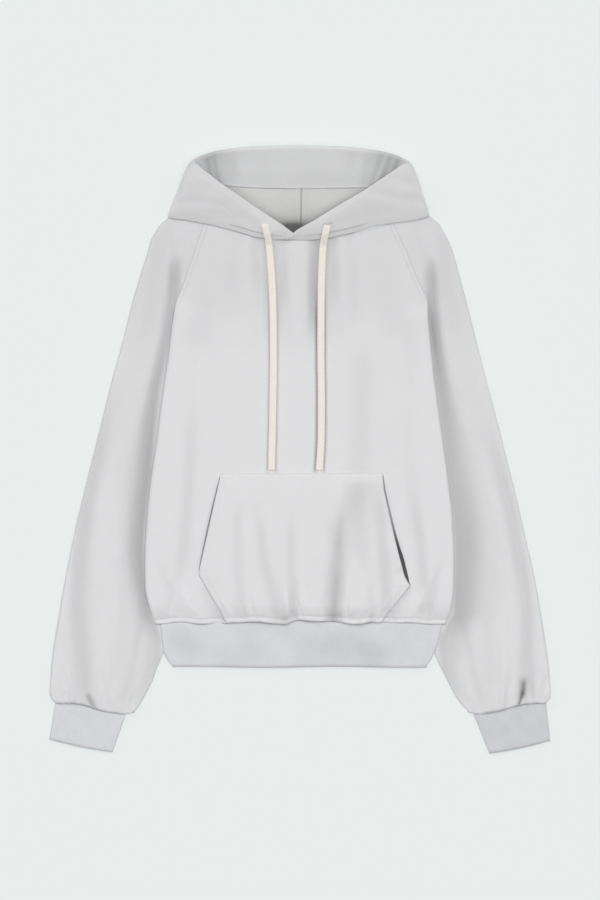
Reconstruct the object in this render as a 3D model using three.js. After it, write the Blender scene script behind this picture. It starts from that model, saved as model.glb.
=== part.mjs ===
import * as THREE from "three";

// A pullover hoodie that lies flat on its back, in millimetres. Seen from above, +X is to the
// right, +Y runs from the hem to the hood and +Z points up. The cloth rests on z = 0, and left
// and right are the viewer's.

const fleece = 2.4; // wall of the brushed fleece
const hoodFleece = 4.8; // the hood is two layers of it
const rib = 2.6; // wall of the doubled rib
const seam = 0.3; // between two pieces that are sewn together
const flatHeight = 8.6; // top of the front over the back where both lie flat
const ribHeight = 8.6; // hem rib and cuffs over both their layers
const sideLift = 7.2; // underside of the body where it lies on a sleeve
const tuckHeight = 6.2; // a sleeve's inner fold under the body's side
const underarmY = 225;
const neckY = 342; // top of the raglan seams
const hemY = -262; // hem seam at the sides
const ribEndY = -326;
const neckDrop = 25; // the front neckline dips by this in the middle
const hemRise = 5.5; // the hem seam runs higher in the middle
const hemPuff = 3.4; // the front blouses over the rib
const pocketTopY = -34.5;

const { clamp, lerp } = THREE.MathUtils;
const smooth = (t) => THREE.MathUtils.smoothstep(t, 0, 1);

// Side outlines of the front and the back: the raglan seams, then the sides.
const bodyEdges = [
  { y: 356, left: -139, right: 134 },
  { y: 339, left: -145, right: 141 },
  { y: 315, left: -153, right: 152.5 },
  { y: 255, left: -174, right: 178 },
  { y: 225, left: -184.5, right: 190.5 },
  { y: 195, left: -190.5, right: 192.5 },
  { y: 135, left: -198, right: 198 },
  { y: 75, left: -207, right: 205.5 },
  { y: 15, left: -214.5, right: 214 },
  { y: -45, left: -223.5, right: 222 },
  { y: -105, left: -229.5, right: 228.5 },
  { y: -165, left: -232.5, right: 231 },
  { y: -205, left: -232, right: 230.5 },
  { y: -232, left: -227, right: 228 },
  { y: -248, left: -222.5, right: 224 },
  { y: -262, left: -217, right: 218 },
];

// The sleeves' inner folds. Above the underarm they are the raglan seams.
const innerFolds = [
  { y: 207, left: -189.9, right: 194 },
  { y: 187, left: -193.4, right: 196 },
  { y: 157, left: -190.5, right: 192.5 },
  { y: 120, left: -187.5, right: 190.5 },
  { y: 75, left: -187.5, right: 190.5 },
  { y: 0, left: -190.5, right: 192 },
  { y: -75, left: -195, right: 196.5 },
  { y: -135, left: -201, right: 203 },
  { y: -165, left: -207, right: 208.5 },
  { y: -190, left: -215, right: 215.5 },
  { y: -208, left: -224, right: 224 },
  { y: -222, left: -230.5, right: 230.5 },
  { y: -236, left: -230, right: 231.5 },
  { y: -248, left: -225.5, right: 227.5 },
  { y: -258, left: -220.5, right: 221.5 },
  { y: -267, left: -212.4, right: 216 },
  { y: -276, left: -210.4, right: 212.4 },
  { y: -285, left: -209, right: 210 },
  { y: -300, left: -208, right: 206.5 },
  { y: -315, left: -210, right: 206.5 },
  { y: -330, left: -215.5, right: 213 },
  { y: -345, left: -220.5, right: 220.5 },
  { y: -360, left: -228, right: 228 },
  { y: -375, left: -236, right: 237 },
  { y: -394, left: -248.5, right: 253.5 },
];

// The sleeves' outer silhouettes, from the shoulder to the cuff.
const outerFolds = [
  { y: 354, left: -190, right: 190 },
  { y: 339, left: -208.5, right: 208.5 },
  { y: 330, left: -215, right: 214 },
  { y: 315, left: -223.5, right: 222 },
  { y: 297, left: -228.5, right: 229.5 },
  { y: 270, left: -237, right: 237 },
  { y: 225, left: -250.5, right: 249 },
  { y: 165, left: -265.5, right: 264 },
  { y: 105, left: -282, right: 279.5 },
  { y: 45, left: -297, right: 295.5 },
  { y: -15, left: -312, right: 310.5 },
  { y: -75, left: -327, right: 325.5 },
  { y: -135, left: -340.5, right: 339 },
  { y: -195, left: -352.5, right: 352.5 },
  { y: -255, left: -363, right: 363 },
  { y: -315, left: -372, right: 372 },
  { y: -345, left: -374.5, right: 375 },
  { y: -362, left: -375.5, right: 376 },
  { y: -372, left: -373.5, right: 375 },
  { y: -380, left: -366, right: 368 },
];

// Tops of the sleeves over their middles.
const sleeveLoft = [
  { y: 354, height: 7 },
  { y: 339, height: 8.2 },
  { y: 300, height: 9.6 },
  { y: 200, height: 10.4 },
  { y: 0, height: 10.8 },
  { y: -200, height: 11.8 },
  { y: -320, height: 13.4 },
  { y: -365, height: 12.4 },
  { y: -394, height: 9.2 },
];

// The valley that runs from each shoulder down to the underarm.
const armholeFold = [
  { y: 312, left: -187.5, right: 197, depth: 0 },
  { y: 280, left: -187.5, right: 196, depth: 2.6 },
  { y: 245, left: -186.5, right: 194.5, depth: 4.6 },
  { y: 215, left: -188, right: 194, depth: 2.5 },
];

// How far each sleeve's end drops below a straight line on top, from the inner to the outer fold.
const cuffSeam = [
  { at: 0, drop: 0 },
  { at: 0.16, drop: 4.4 },
  { at: 0.4, drop: 3.4 },
  { at: 0.53, drop: 0 },
  { at: 0.72, drop: -3 },
  { at: 1, drop: 0 },
];
const cuffY = { inner: -394, outer: -380 };

const ribEdges = [
  { y: -262, left: -210, right: 214 },
  { y: -285, left: -207.5, right: 208.5 },
  { y: -301, left: -205, right: 203.5 },
  { y: -316, left: -199, right: 195.5 },
  { y: -326, left: -190, right: 189 },
];

const pocketEdges = [
  { y: -34.5, left: -118.5, right: 123.8 },
  { y: -178, left: -151.5, right: 159.6 },
  { y: -187.5, left: -151.5, right: 162 },
  { y: -199.5, left: -145, right: 165 },
  { y: -207, left: -140.8, right: 166.5 },
  { y: -262, left: -110, right: 124 },
];

// Soft creases, each from its start to its end, as wide as `width` to either side.
const bodyCreases = [
  { x0: -63, y0: 308, x1: -66, y1: 215, width: 10, height: -1.1 },
  { x0: -30, y0: 306, x1: -26, y1: 190, width: 9, height: -1.3 },
  { x0: 10, y0: 306, x1: 12, y1: 200, width: 10, height: -1.2 },
  { x0: 58, y0: 306, x1: 62, y1: 215, width: 10, height: -1.1 },
  { x0: 170, y0: 0, x1: 186, y1: -170, width: 13, height: -2.2 },
  { x0: -206, y0: -166, x1: -170, y1: -236, width: 10, height: -2.2 },
  { x0: -190, y0: -130, x1: -160, y1: -180, width: 11, height: -1.6 },
  { x0: 212, y0: -158, x1: 178, y1: -232, width: 10, height: -2.2 },
];
const pocketCreases = [
  { x0: -82, y0: -90, x1: -93, y1: -215, width: 9, height: -1.8 },
  { x0: -48, y0: -95, x1: -58, y1: -225, width: 9, height: -1.7 },
  { x0: -4, y0: -130, x1: -10, y1: -235, width: 9, height: -1.9 },
  { x0: 52, y0: -80, x1: 56, y1: -240, width: 15, height: -2.4 },
  { x0: 100, y0: -60, x1: 108, y1: -190, width: 13, height: -1.4 },
];
const sleeveCreases = [
  { x0: -298, y0: -40, x1: -314, y1: -372, width: 15, height: -4 },
  { x0: -262, y0: -120, x1: -268, y1: -350, width: 13, height: -2 },
  { x0: -345, y0: -210, x1: -352, y1: -345, width: 11, height: 1.6 },
  { x0: 318, y0: -90, x1: 334, y1: -384, width: 13, height: -5 },
  { x0: 272, y0: -130, x1: 284, y1: -350, width: 13, height: -2 },
  { x0: 352, y0: -220, x1: 358, y1: -350, width: 10, height: 1.6 },
];

// The hood's halves, station by station: the opening edge and the foot of the panel outside it.
// The first stations are at the bottom of the V, the last ones at the top of the arc.
const hoodLeftStations = [
  { edgeX: -12.6, edgeY: 327.4, edgeZ: 15.6, footX: -24.9, footY: 315.2, footZ: 9.4 },
  { edgeX: -24, edgeY: 336, edgeZ: 18, footX: -40.5, footY: 315.4, footZ: 9.4 },
  { edgeX: -45, edgeY: 350, edgeZ: 21, footX: -64.5, footY: 318.6, footZ: 9.4 },
  { edgeX: -72, edgeY: 368, edgeZ: 26, footX: -96, footY: 327.6, footZ: 9.4 },
  { edgeX: -96, edgeY: 384.6, edgeZ: 31, footX: -129, footY: 336, footZ: 9.4 },
  { edgeX: -117, edgeY: 399, edgeZ: 36, footX: -168, footY: 343.5, footZ: 9.8 },
  { edgeX: -136.5, edgeY: 416, edgeZ: 40, footX: -198, footY: 349.5, footZ: 10.4 },
  { edgeX: -149.3, edgeY: 426.8, edgeZ: 43, footX: -183, footY: 390, footZ: 0 },
  { edgeX: -153, edgeY: 432.8, edgeZ: 44, footX: -164, footY: 430.5, footZ: 0 },
  { edgeX: -129, edgeY: 439.5, edgeZ: 45, footX: -130.5, footY: 446, footZ: 0 },
  { edgeX: -66, edgeY: 447.6, edgeZ: 47, footX: -66, footY: 453.8, footZ: 0 },
  { edgeX: -0.2, edgeY: 449.2, edgeZ: 47, footX: -0.2, footY: 455.4, footZ: 0 },
];
const hoodRightStations = [
  { edgeX: -18.8, edgeY: 318, edgeZ: 16.4, footX: -23.3, footY: 314.2, footZ: 9.6 },
  { edgeX: -11.5, edgeY: 324, edgeZ: 17.6, footX: -9, footY: 314.2, footZ: 9.6 },
  { edgeX: -4.5, edgeY: 330, edgeZ: 19, footX: 6, footY: 314.2, footZ: 9.6 },
  { edgeX: 19.5, edgeY: 343.5, edgeZ: 22, footX: 33, footY: 316.2, footZ: 9.4 },
  { edgeX: 60.8, edgeY: 368.7, edgeZ: 28, footX: 75, footY: 324.5, footZ: 9.4 },
  { edgeX: 102, edgeY: 393, edgeZ: 34, footX: 121.5, footY: 337, footZ: 9.4 },
  { edgeX: 124, edgeY: 406.5, edgeZ: 38, footX: 170, footY: 343.5, footZ: 9.8 },
  { edgeX: 141, edgeY: 418.5, edgeZ: 41, footX: 193.5, footY: 352.5, footZ: 10.4 },
  { edgeX: 153, edgeY: 425.5, edgeZ: 43, footX: 184, footY: 384, footZ: 0 },
  { edgeX: 156, edgeY: 430, edgeZ: 44, footX: 166.5, footY: 429, footZ: 0 },
  { edgeX: 127.5, edgeY: 439, edgeZ: 45, footX: 130.5, footY: 445, footZ: 0 },
  { edgeX: 64.5, edgeY: 446.8, edgeZ: 46.5, footX: 64.5, footY: 453, footZ: 0 },
  { edgeX: 0.2, edgeY: 449.2, edgeZ: 47, footX: 0.2, footY: 455.4, footZ: 0 },
];

// The band behind the opening edge, from its top to the fold at its lower edge.
const facingStations = [
  { at: 0, topX: -143.5, topY: 430, topZ: 41, foldX: -131, foldY: 398.5, foldZ: 19.5 },
  { at: 0.2, topX: -112, topY: 440, topZ: 43.5, foldX: -98, foldY: 394.5, foldZ: 18.6 },
  { at: 0.5, topX: 2, topY: 447.8, topZ: 45.5, foldX: 2, foldY: 391.5, foldZ: 18 },
  { at: 0.8, topX: 112, topY: 440, topZ: 43.5, foldX: 98, foldY: 393, foldZ: 18.6 },
  { at: 1, topX: 147.5, topY: 428, topZ: 41, foldX: 130, foldY: 394.5, foldZ: 19.5 },
];

// The drawcord's free ends, from the hood's edge down the chest.
const cordWidth = 11;
const cordThickness = 3;
const cordRoutes = {
  left: [
    [-53.7, 341.2, 23.4],
    [-51.4, 333, 22.2],
    [-49.3, 324, 20],
    [-47.6, 315.5, 15.8],
    [-46.4, 306, 11.5],
    [-44.9, 292, 10.6],
    [-43, 267, 10.6],
    [-41.1, 232.5, 10.6],
    [-40, 187.5, 10.6],
    [-39.8, 142.5, 10.6],
    [-40.2, 97.5, 10.6],
    [-40.7, 60, 10.6],
    [-41.5, 22.5, 10.6],
    [-42.2, -7.5, 10.6],
    [-42.5, -31, 10.6],
  ],
  right: [
    [40.2, 339.7, 25.6],
    [38.4, 331, 23.8],
    [36.9, 322, 20.8],
    [35.7, 314, 15.8],
    [34.6, 304, 11.4],
    [33.4, 287, 10.6],
    [32.3, 255, 10.6],
    [31.5, 214.5, 10.6],
    [31.4, 172.5, 10.6],
    [31.5, 127.5, 10.6],
    [32.1, 82.5, 10.6],
    [32.1, 45, 10.6],
    [31.7, 15, 10.6],
    [30.3, -12, 10.6],
    [29.1, -31, 10.6],
  ],
};

const finishes = {
  fleece: new THREE.MeshStandardMaterial({ color: 0xdedee0, roughness: 0.95 }),
  rib: new THREE.MeshStandardMaterial({ color: 0xd2d3d6, roughness: 0.9 }),
  lining: new THREE.MeshStandardMaterial({ color: 0xcccccb, roughness: 0.95 }),
  cord: new THREE.MeshStandardMaterial({ color: 0xece2d3, roughness: 0.8 }),
};

// A curve through one column of a table: it keeps to the rows and never overshoots them.
function track(table, key, column) {
  const rows = [...table].sort((a, b) => a[key] - b[key]);
  const at = rows.map((row) => row[key]);
  const value = rows.map((row) => row[column]);
  const last = rows.length - 1;
  const slope = [];
  for (let k = 0; k < last; k += 1) slope.push((value[k + 1] - value[k]) / (at[k + 1] - at[k]));
  const tangent = value.map((_, k) => {
    if (k === 0) return slope[0];
    if (k === last) return slope[last - 1];
    const product = slope[k - 1] * slope[k];
    return product > 0 ? (2 * product) / (slope[k - 1] + slope[k]) : 0;
  });
  return (where) => {
    const place = clamp(where, at[0], at[last]);
    let k = 0;
    while (k < last - 1 && place > at[k + 1]) k += 1;
    const span = at[k + 1] - at[k];
    const t = (place - at[k]) / span;
    const ease = t * t * (3 - 2 * t);
    const leave = t * (1 - t) * (1 - t) * span * tangent[k];
    const arrive = t * t * (t - 1) * span * tangent[k + 1];
    return lerp(value[k], value[k + 1], ease) + leave + arrive;
  };
}

const sideTrack = (table) => {
  const tracks = { left: track(table, "y", "left"), right: track(table, "y", "right") };
  return (side, y) => (side < 0 ? tracks.left(y) : tracks.right(y));
};
const bodyEdge = sideTrack(bodyEdges);
const lowerFold = sideTrack(innerFolds);
const outerFold = sideTrack(outerFolds);
const valley = sideTrack(armholeFold);
const ribEdge = sideTrack(ribEdges);
const pocketEdge = sideTrack(pocketEdges);
const loft = track(sleeveLoft, "y", "height");
const valleyDepth = track(armholeFold, "y", "depth");
const cuffDrop = track(cuffSeam, "at", "drop");

// Above the underarm a sleeve's inner end lies a seam's width outside the body.
function innerFold(side, y) {
  const onSeam = bodyEdge(side, y) + side * seam * 2;
  return lerp(lowerFold(side, y), onSeam, smooth((y - underarmY + 14) / 14));
}

function creaseHeight(creases, x, y) {
  let sum = 0;
  for (const { x0, y0, x1, y1, width, height } of creases) {
    const along = [x1 - x0, y1 - y0];
    const length = Math.hypot(...along);
    const reach = ((x - x0) * along[0] + (y - y0) * along[1]) / length;
    const aside = ((x - x0) * along[1] - (y - y0) * along[0]) / length;
    const beyond = Math.max(-reach, reach - length, 0);
    sum += height * Math.exp(-((aside / width) ** 2) - (beyond / 22) ** 2);
  }
  return sum;
}

// A wall of cloth over a grid of columns u and rows v. `outer` is its outer face; the inner one
// lies `thickness` behind it, or where `inner` says. A closed wall joins its last column to its
// first, and `up` is a place on it where the outer face looks up.
function clothWall({ outer, inner, columns, rows, thickness, closed = false, up = [0.5, 0.5] }) {
  const spanV = rows[rows.length - 1] - rows[0];
  const spanU = columns[columns.length - 1] - columns[0];
  const normalAt = (u, v) => {
    const nearU = u - spanU * 1e-4 < columns[0] ? 0 : -1e-4;
    const nearV = (v - rows[0]) / spanV < 1e-4 ? 0 : -1e-4;
    const alongU = outer(u + spanU * (nearU + 1e-4), v).sub(outer(u + spanU * nearU, v));
    const alongV = outer(u, v + spanV * (nearV + 1e-4)).sub(outer(u, v + spanV * nearV));
    return alongU.cross(alongV).normalize();
  };
  const upU = lerp(columns[0], columns[columns.length - 1], up[0]);
  const upV = lerp(rows[0], rows[rows.length - 1], up[1]);
  const facing = Math.sign(normalAt(upU, upV).z);
  const behind = inner ?? ((u, v) => outer(u, v).addScaledVector(normalAt(u, v), -facing * thickness));
  const across = columns.length;
  const points = [];
  for (const face of [outer, behind]) {
    for (const v of rows) for (const u of columns) points.push(...face(u, v).toArray());
  }
  const index = (layer, row, column) => (layer * rows.length + row) * across + (column % across);
  const triangles = [];
  const quad = (a, b, c, d) => triangles.push(...(facing > 0 ? [a, b, c, a, c, d] : [a, c, b, a, d, c]));
  const lastColumn = closed ? across : across - 1;
  for (let row = 0; row + 1 < rows.length; row += 1) {
    for (let column = 0; column < lastColumn; column += 1) {
      const [a, b] = [index(0, row, column), index(0, row, column + 1)];
      const [c, d] = [index(0, row + 1, column + 1), index(0, row + 1, column)];
      const back = rows.length * across;
      quad(a, b, c, d);
      quad(a + back, d + back, c + back, b + back);
      if (row === 0) quad(a, a + back, b + back, b);
      if (row + 2 === rows.length) quad(d, c, c + back, d + back);
      if (!closed && column === 0) quad(a, d, d + back, a + back);
      if (!closed && column + 1 === lastColumn) quad(b, b + back, c + back, c);
    }
  }
  return solid(points, triangles);
}

function solid(points, triangles) {
  const geometry = new THREE.BufferGeometry();
  geometry.setAttribute("position", new THREE.Float32BufferAttribute(points, 3));
  geometry.setIndex(triangles);
  geometry.computeVertexNormals();
  return geometry;
}

const steps = (from, to, count) =>
  Array.from({ length: count + 1 }, (_, k) => lerp(from, to, k / count));

const straightDown = (outer, depth) => (u, v) => outer(u, v).sub(new THREE.Vector3(0, 0, depth));

// Front and back.

// The body's rows bow: its neckline dips and its hem rises towards the middle.
function bodyY(row, x) {
  const edge = bodyEdge(Math.sign(x) || 1, row);
  const aside = Math.min(1, Math.abs(x / edge));
  const neck = -neckDrop * (1 - aside ** 1.9) * smooth((row - 150) / (neckY - 150));
  const hem = hemRise * (1 - aside ** 4) * smooth((row + 180) / (hemY + 180));
  return row + neck + hem;
}

// How far the body's side is lifted by the sleeve that it lies on.
function lift(x, y) {
  const side = Math.sign(x) || 1;
  const inside = (innerFold(side, y) - x) * side;
  const across = 1 - smooth((inside - 9) / 34);
  return sideLift * across * smooth((underarmY - 4 - y) / 26) * smooth((y - hemY) / 38);
}

// The front's own height, before its creases.
function frontBase(x, y) {
  const fromHem = y - (hemY + hemRise * 0.7);
  const puff = hemPuff * Math.exp(-(((fromHem - 24) / 20) ** 2));
  const fall = (flatHeight + lift(x, y) + puff - ribHeight - 0.4) * (1 - smooth((fromHem + 2) / 20));
  return flatHeight + lift(x, y) + puff - fall;
}

function underPocket(x, y) {
  const left = x - pocketEdge(-1, y);
  const right = pocketEdge(1, y) - x;
  return smooth((Math.min(left, right) + 14) / 14) * smooth((pocketTopY + 14 - y) / 14);
}

const frontHeight = (x, y) =>
  frontBase(x, y) + creaseHeight(bodyCreases, x, y) * (1 - underPocket(x, y));

const sideRoll = 0.1; // share of the columns that goes round each side

// One place across the body: its x, and how far round the side roll it has turned.
function acrossBody(u, row, radius) {
  const turn = lerp(0.12, Math.PI / 2, smooth((underarmY - row) / 30));
  const [left, right] = [bodyEdge(-1, row), bodyEdge(1, row)];
  const start = radius * Math.sin(turn);
  if (u < sideRoll) {
    const arc = turn * (1 - u / sideRoll);
    return { x: left + start - radius * Math.sin(arc), arc };
  }
  if (u > 1 - sideRoll) {
    const arc = (turn * (u - 1 + sideRoll)) / sideRoll;
    return { x: right - start + radius * Math.sin(arc), arc };
  }
  return { x: lerp(left + start, right - start, (u - sideRoll) / (1 - 2 * sideRoll)), arc: 0 };
}

function frontPoint(u, row) {
  const { x, arc } = acrossBody(u, row, 9);
  const y = bodyY(row, x);
  const half = (frontHeight(x, y) - lift(x, y)) / 2 - seam * 1.5;
  return new THREE.Vector3(x, y, frontHeight(x, y) - half * (1 - Math.cos(arc)));
}

function backPoint(u, row) {
  const { x, arc } = acrossBody(u, row, 5);
  const y = bodyY(row, x);
  const half = (frontHeight(x, y) - lift(x, y)) / 2 - seam;
  return new THREE.Vector3(x, y, lift(x, y) + half * (1 - Math.cos(arc)));
}

const bodyRows = [342, 330, 314, 295, 270, 246, 225, 210, 195, 172, 140, 100, 60, 20, -12];
const pocketRows = [-34.5, -62, -92, -122, -152, -178, -187.5, -199.5, -207, -220, -234, -246, -255];
const sideColumns = steps(0, sideRoll, 3);
const bodyColumns = [
  ...sideColumns,
  ...steps(sideRoll, 1 - sideRoll, 17).slice(1, -1),
  ...sideColumns.map((u) => 1 - u).reverse(),
];
const backColumns = [
  ...sideColumns,
  ...[0.13, 0.17, 0.22, 0.3, 0.4, 0.5, 0.6, 0.7, 0.78, 0.83, 0.87],
  ...sideColumns.map((u) => 1 - u).reverse(),
];

const backRows = [342, 318, 290, 258, 225, 210, 195, 160, 110, 50, -12, -62, -122, -152, -178, -199.5];
const hemRows = [-220, -234, -246, -255, hemY];

const bodyFront = clothWall({
  outer: frontPoint,
  columns: bodyColumns,
  rows: [...bodyRows, ...pocketRows, hemY],
  thickness: fleece,
});

// The back's outer face is its underside, so its wall is built upwards from it.
const bodyBack = clothWall({
  outer: (u, row) => {
    const point = backPoint(u, row);
    return point.setZ(-point.z);
  },
  columns: backColumns,
  rows: [...backRows, ...hemRows],
  thickness: fleece,
}).scale(1, 1, -1);
flipFaces(bodyBack);

function flipFaces(geometry) {
  const index = geometry.getIndex();
  for (let k = 0; k < index.count; k += 3) {
    const second = index.getX(k + 1);
    index.setX(k + 1, index.getX(k + 2));
    index.setX(k + 2, second);
  }
  geometry.computeVertexNormals();
}

// The pocket lies on the front and takes its height from it.
const pocketLoft = 2.6;
const pocketClearance = 1.1;
function pocketPoint(u, row) {
  const [left, right] = [pocketEdge(-1, row), pocketEdge(1, row)];
  const x = lerp(left, right, u);
  const y = bodyY(row, x);
  const fromSides = Math.min(x - left, right - x);
  const fromTop = pocketTopY - y;
  const full = smooth(fromSides / 45) * smooth((fromTop + 4) / 40) * smooth((y - hemY) / 30);
  const slit = smooth((u - 0.8) / 0.2) * Math.exp(-(((y + 165) / 32) ** 2));
  const creases = creaseHeight(pocketCreases, x, y) * full;
  const height = pocketClearance + fleece + pocketLoft * full + 2.2 * slit + creases;
  return new THREE.Vector3(x, y, frontBase(x, y) + height);
}

const pocket = clothWall({
  outer: pocketPoint,
  inner: straightDown(pocketPoint, fleece),
  columns: steps(0, 1, 11),
  rows: [...pocketRows, hemY],
});

// Sleeves: one panel each, from the front seam over the top, round the outer fold and back
// underneath to the back seam. Below the underarm both seams meet in the inner fold.
const sleeveZones = { innerFold: 0.08, outerFrom: 0.46, outerTo: 0.54 };
const outerRadius = 8;
const innerRadius = 3.2;

function sleeveHeight(side, x, y) {
  const outside = (x - bodyEdge(side, y)) * side;
  const depth = valleyDepth(y) * (y > 312 ? 0 : 1);
  const across = (x - valley(side, y)) / 9;
  const shoulder = lerp(flatHeight, loft(y), smooth(outside / 34)) - depth * Math.exp(-across * across);
  const arm = lerp(tuckHeight, loft(y), smooth((outside - 5) / 24));
  const belowUnderarm = smooth((underarmY - y) / 24);
  const nearCuff = 1 - smooth((y + 394) / 24) * 0.999;
  const creases = creaseHeight(sleeveCreases, x, y) * smooth(outside / 20) * (1 - nearCuff);
  return lerp(shoulder, arm, belowUnderarm) + creases;
}

function sleevePoint(side, u, row) {
  const nearCuff = smooth((-300 - row) / 94);
  const slant = (cuffY.outer - cuffY.inner) * nearCuff + 4 * smooth((row - 330) / 20);
  const rowOuter = row + slant;
  const start = innerFold(side, row);
  const width = (outerFold(side, rowOuter) - start) * side;
  const turn = lerp(0.06, Math.PI / 2, smooth((underarmY - row) / 22));
  const { innerFold: foldShare, outerFrom, outerTo } = sleeveZones;
  const nearU = Math.min(u, 1 - u);
  const under = u > 0.5;
  const foldStart = innerRadius * Math.sin(turn);
  const place = (distance) => {
    const t = distance / width;
    const drop = under ? 0 : cuffDrop(t) * nearCuff ** 2;
    return [start + side * distance, lerp(row, rowOuter, t) - drop];
  };
  if (nearU < foldShare) {
    const arc = turn * (1 - nearU / foldShare);
    const [x, y] = place(foldStart - innerRadius * Math.sin(arc));
    const top = sleeveHeight(side, x, y);
    const fall = (top / 2 - seam) * (1 - Math.cos(arc));
    return new THREE.Vector3(x, y, under ? fall : top - fall);
  }
  if (nearU < outerFrom) {
    const t = (nearU - foldShare) / (outerFrom - foldShare);
    const [x, y] = place(lerp(foldStart, width - outerRadius, t));
    return new THREE.Vector3(x, y, under ? 0 : sleeveHeight(side, x, y));
  }
  const arc = (Math.PI * (u - outerFrom)) / (outerTo - outerFrom);
  const [x, y] = place(width - outerRadius + outerRadius * Math.sin(arc));
  const half = sleeveHeight(side, x, y) / 2;
  return new THREE.Vector3(x, y, half + half * Math.cos(arc));
}

const sleeveRows = [
  348, 336, 318, 296, 272, 248, 225, 214, 203, 188, 160, 120, 70, 10, -50, -105, -150, -185, -208, -222,
  -238, -254, -270, -290, -312, -334, -354, -370, -384, -394,
];
function sleeveColumns() {
  const { innerFold: foldShare, outerFrom, outerTo } = sleeveZones;
  return [
    ...steps(0, foldShare, 2),
    ...steps(foldShare, outerFrom, 7).slice(1),
    ...steps(outerFrom, outerTo, 4).slice(1),
    ...steps(outerTo, 1 - foldShare, 3).slice(1),
    ...steps(1 - foldShare, 1, 2).slice(1),
  ];
}

const sleeve = (side) =>
  clothWall({
    outer: (u, row) => sleevePoint(side, u, row),
    columns: sleeveColumns(),
    rows: sleeveRows,
    thickness: fleece,
    up: [0.25, 0.5],
  });

// A flat ring of rib: over the top from one fold to the other, and back underneath.
const foldRadius = 4.3;
function ringPlace(u, height) {
  const overTop = u < 0.4;
  const underneath = u >= 0.5 && u < 0.9;
  if (overTop) return { share: u / 0.4, turn: 0, z: height };
  if (underneath) return { share: 1 - (u - 0.5) / 0.4, turn: 0, z: 0 };
  const arc = (Math.PI * (u < 0.5 ? u - 0.4 : u - 0.9)) / 0.1;
  const rightSide = u < 0.5;
  const z = height / 2 + ((rightSide ? 1 : -1) * height * Math.cos(arc)) / 2;
  return { share: rightSide ? 1 : 0, turn: Math.sin(arc) * (rightSide ? 1 : -1), z };
}
const ringColumns = (across) => [
  ...steps(0, 0.4, across),
  ...steps(0.4, 0.5, 4).slice(1),
  ...steps(0.5, 0.9, across).slice(1),
  ...steps(0.9, 1, 4).slice(1, -1),
];

function ribPoint(u, down) {
  const level = lerp(hemY, ribEndY, down);
  const [left, right] = [ribEdge(-1, level) + foldRadius, ribEdge(1, level) - foldRadius];
  const { share, turn, z } = ringPlace(u, ribHeight);
  const x = lerp(left, right, share) + turn * foldRadius;
  const top = bodyY(hemY, clamp(x, bodyEdge(-1, hemY), bodyEdge(1, hemY))) - 2 * seam;
  return new THREE.Vector3(x, lerp(top, ribEndY, down), z);
}

const hemRib = clothWall({
  outer: ribPoint,
  columns: ringColumns(14),
  rows: [0, 0.3, 0.6, 0.85, 1],
  thickness: rib,
  closed: true,
  up: [0.2, 0.5],
});

// Each cuff hangs from its sleeve's end and is laid flat: its two folds at the top and bottom.
const cuffs = [
  { side: -1, top: [-367, -259.5], bottom: [-376, -281], bottomY: [-434, -453.5] },
  { side: 1, top: [258.5, 369], bottom: [284, 375.5], bottomY: [-455.4, -436] },
];

function sleeveEndY(side, x, onTop) {
  const [inner, outer] = [lowerFold(side, cuffY.inner), outerFold(side, cuffY.outer)];
  const t = clamp((x - inner) / (outer - inner), 0, 1);
  return lerp(cuffY.inner, cuffY.outer, t) - cuffDrop(t) * onTop;
}

function cuffPoint({ side, top, bottom, bottomY }, u, down) {
  const { share, turn, z } = ringPlace(u, ribHeight);
  const [start, end] = [lerp(top[0], bottom[0], down), lerp(top[1], bottom[1], down)];
  const margin = foldRadius / (end - start);
  const t = lerp(margin, 1 - margin, share) + turn * margin;
  const topY = sleeveEndY(side, lerp(top[0], top[1], t), z / ribHeight) - 2.2 * seam;
  const endY = lerp(bottomY[0], bottomY[1], t) - 2 * Math.sin(Math.PI * t);
  return new THREE.Vector3(lerp(start, end, t), lerp(topY, endY, down), z);
}

const cuff = (size) =>
  clothWall({
    outer: (u, down) => cuffPoint(size, u, down),
    columns: ringColumns(8),
    rows: [0, 0.35, 0.7, 1],
    thickness: rib,
    closed: true,
    up: [0.2, 0.5],
  });

// Hood halves: each panel rises from its foot to the opening edge in a quarter round.
function hoodHalf(stations) {
  const table = stations.map((station, at) => ({ at, ...station }));
  const names = ["edgeX", "edgeY", "edgeZ", "footX", "footY", "footZ"];
  const tracks = names.map((name) => track(table, "at", name));
  const face = (inset) => (station, turn) => {
    const [edgeX, edgeY, edgeZ, footX, footY, footZ] = tracks.map((read) => read(station));
    const reach = Math.hypot(footX - edgeX, footY - edgeY);
    const out = Math.sin(turn) * (1 - inset / reach);
    const height = footZ + (edgeZ - inset - footZ) * Math.cos(turn);
    return new THREE.Vector3(lerp(edgeX, footX, out), lerp(edgeY, footY, out), height);
  };
  return clothWall({
    outer: face(0),
    inner: face(hoodFleece),
    columns: steps(0, stations.length - 1, (stations.length - 1) * 2),
    rows: steps(0, Math.PI / 2, 6),
    up: [0.4, 0.4],
  });
}

// Inside of the hood.
const facingTracks = ["topX", "topY", "topZ", "foldX", "foldY", "foldZ"].map((name) =>
  track(facingStations, "at", name),
);
function facingPoint(at, down) {
  const [topX, topY, topZ, foldX, foldY, foldZ] = facingTracks.map((read) => read(at));
  const z = foldZ + (topZ - foldZ) * (1 - down) ** 1.4;
  return new THREE.Vector3(lerp(topX, foldX, down), lerp(topY, foldY, down), z);
}
const hoodFacing = clothWall({
  outer: facingPoint,
  inner: straightDown(facingPoint, fleece * 1.15),
  columns: steps(0, 1, 16),
  rows: steps(0, 1, 5),
});

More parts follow.
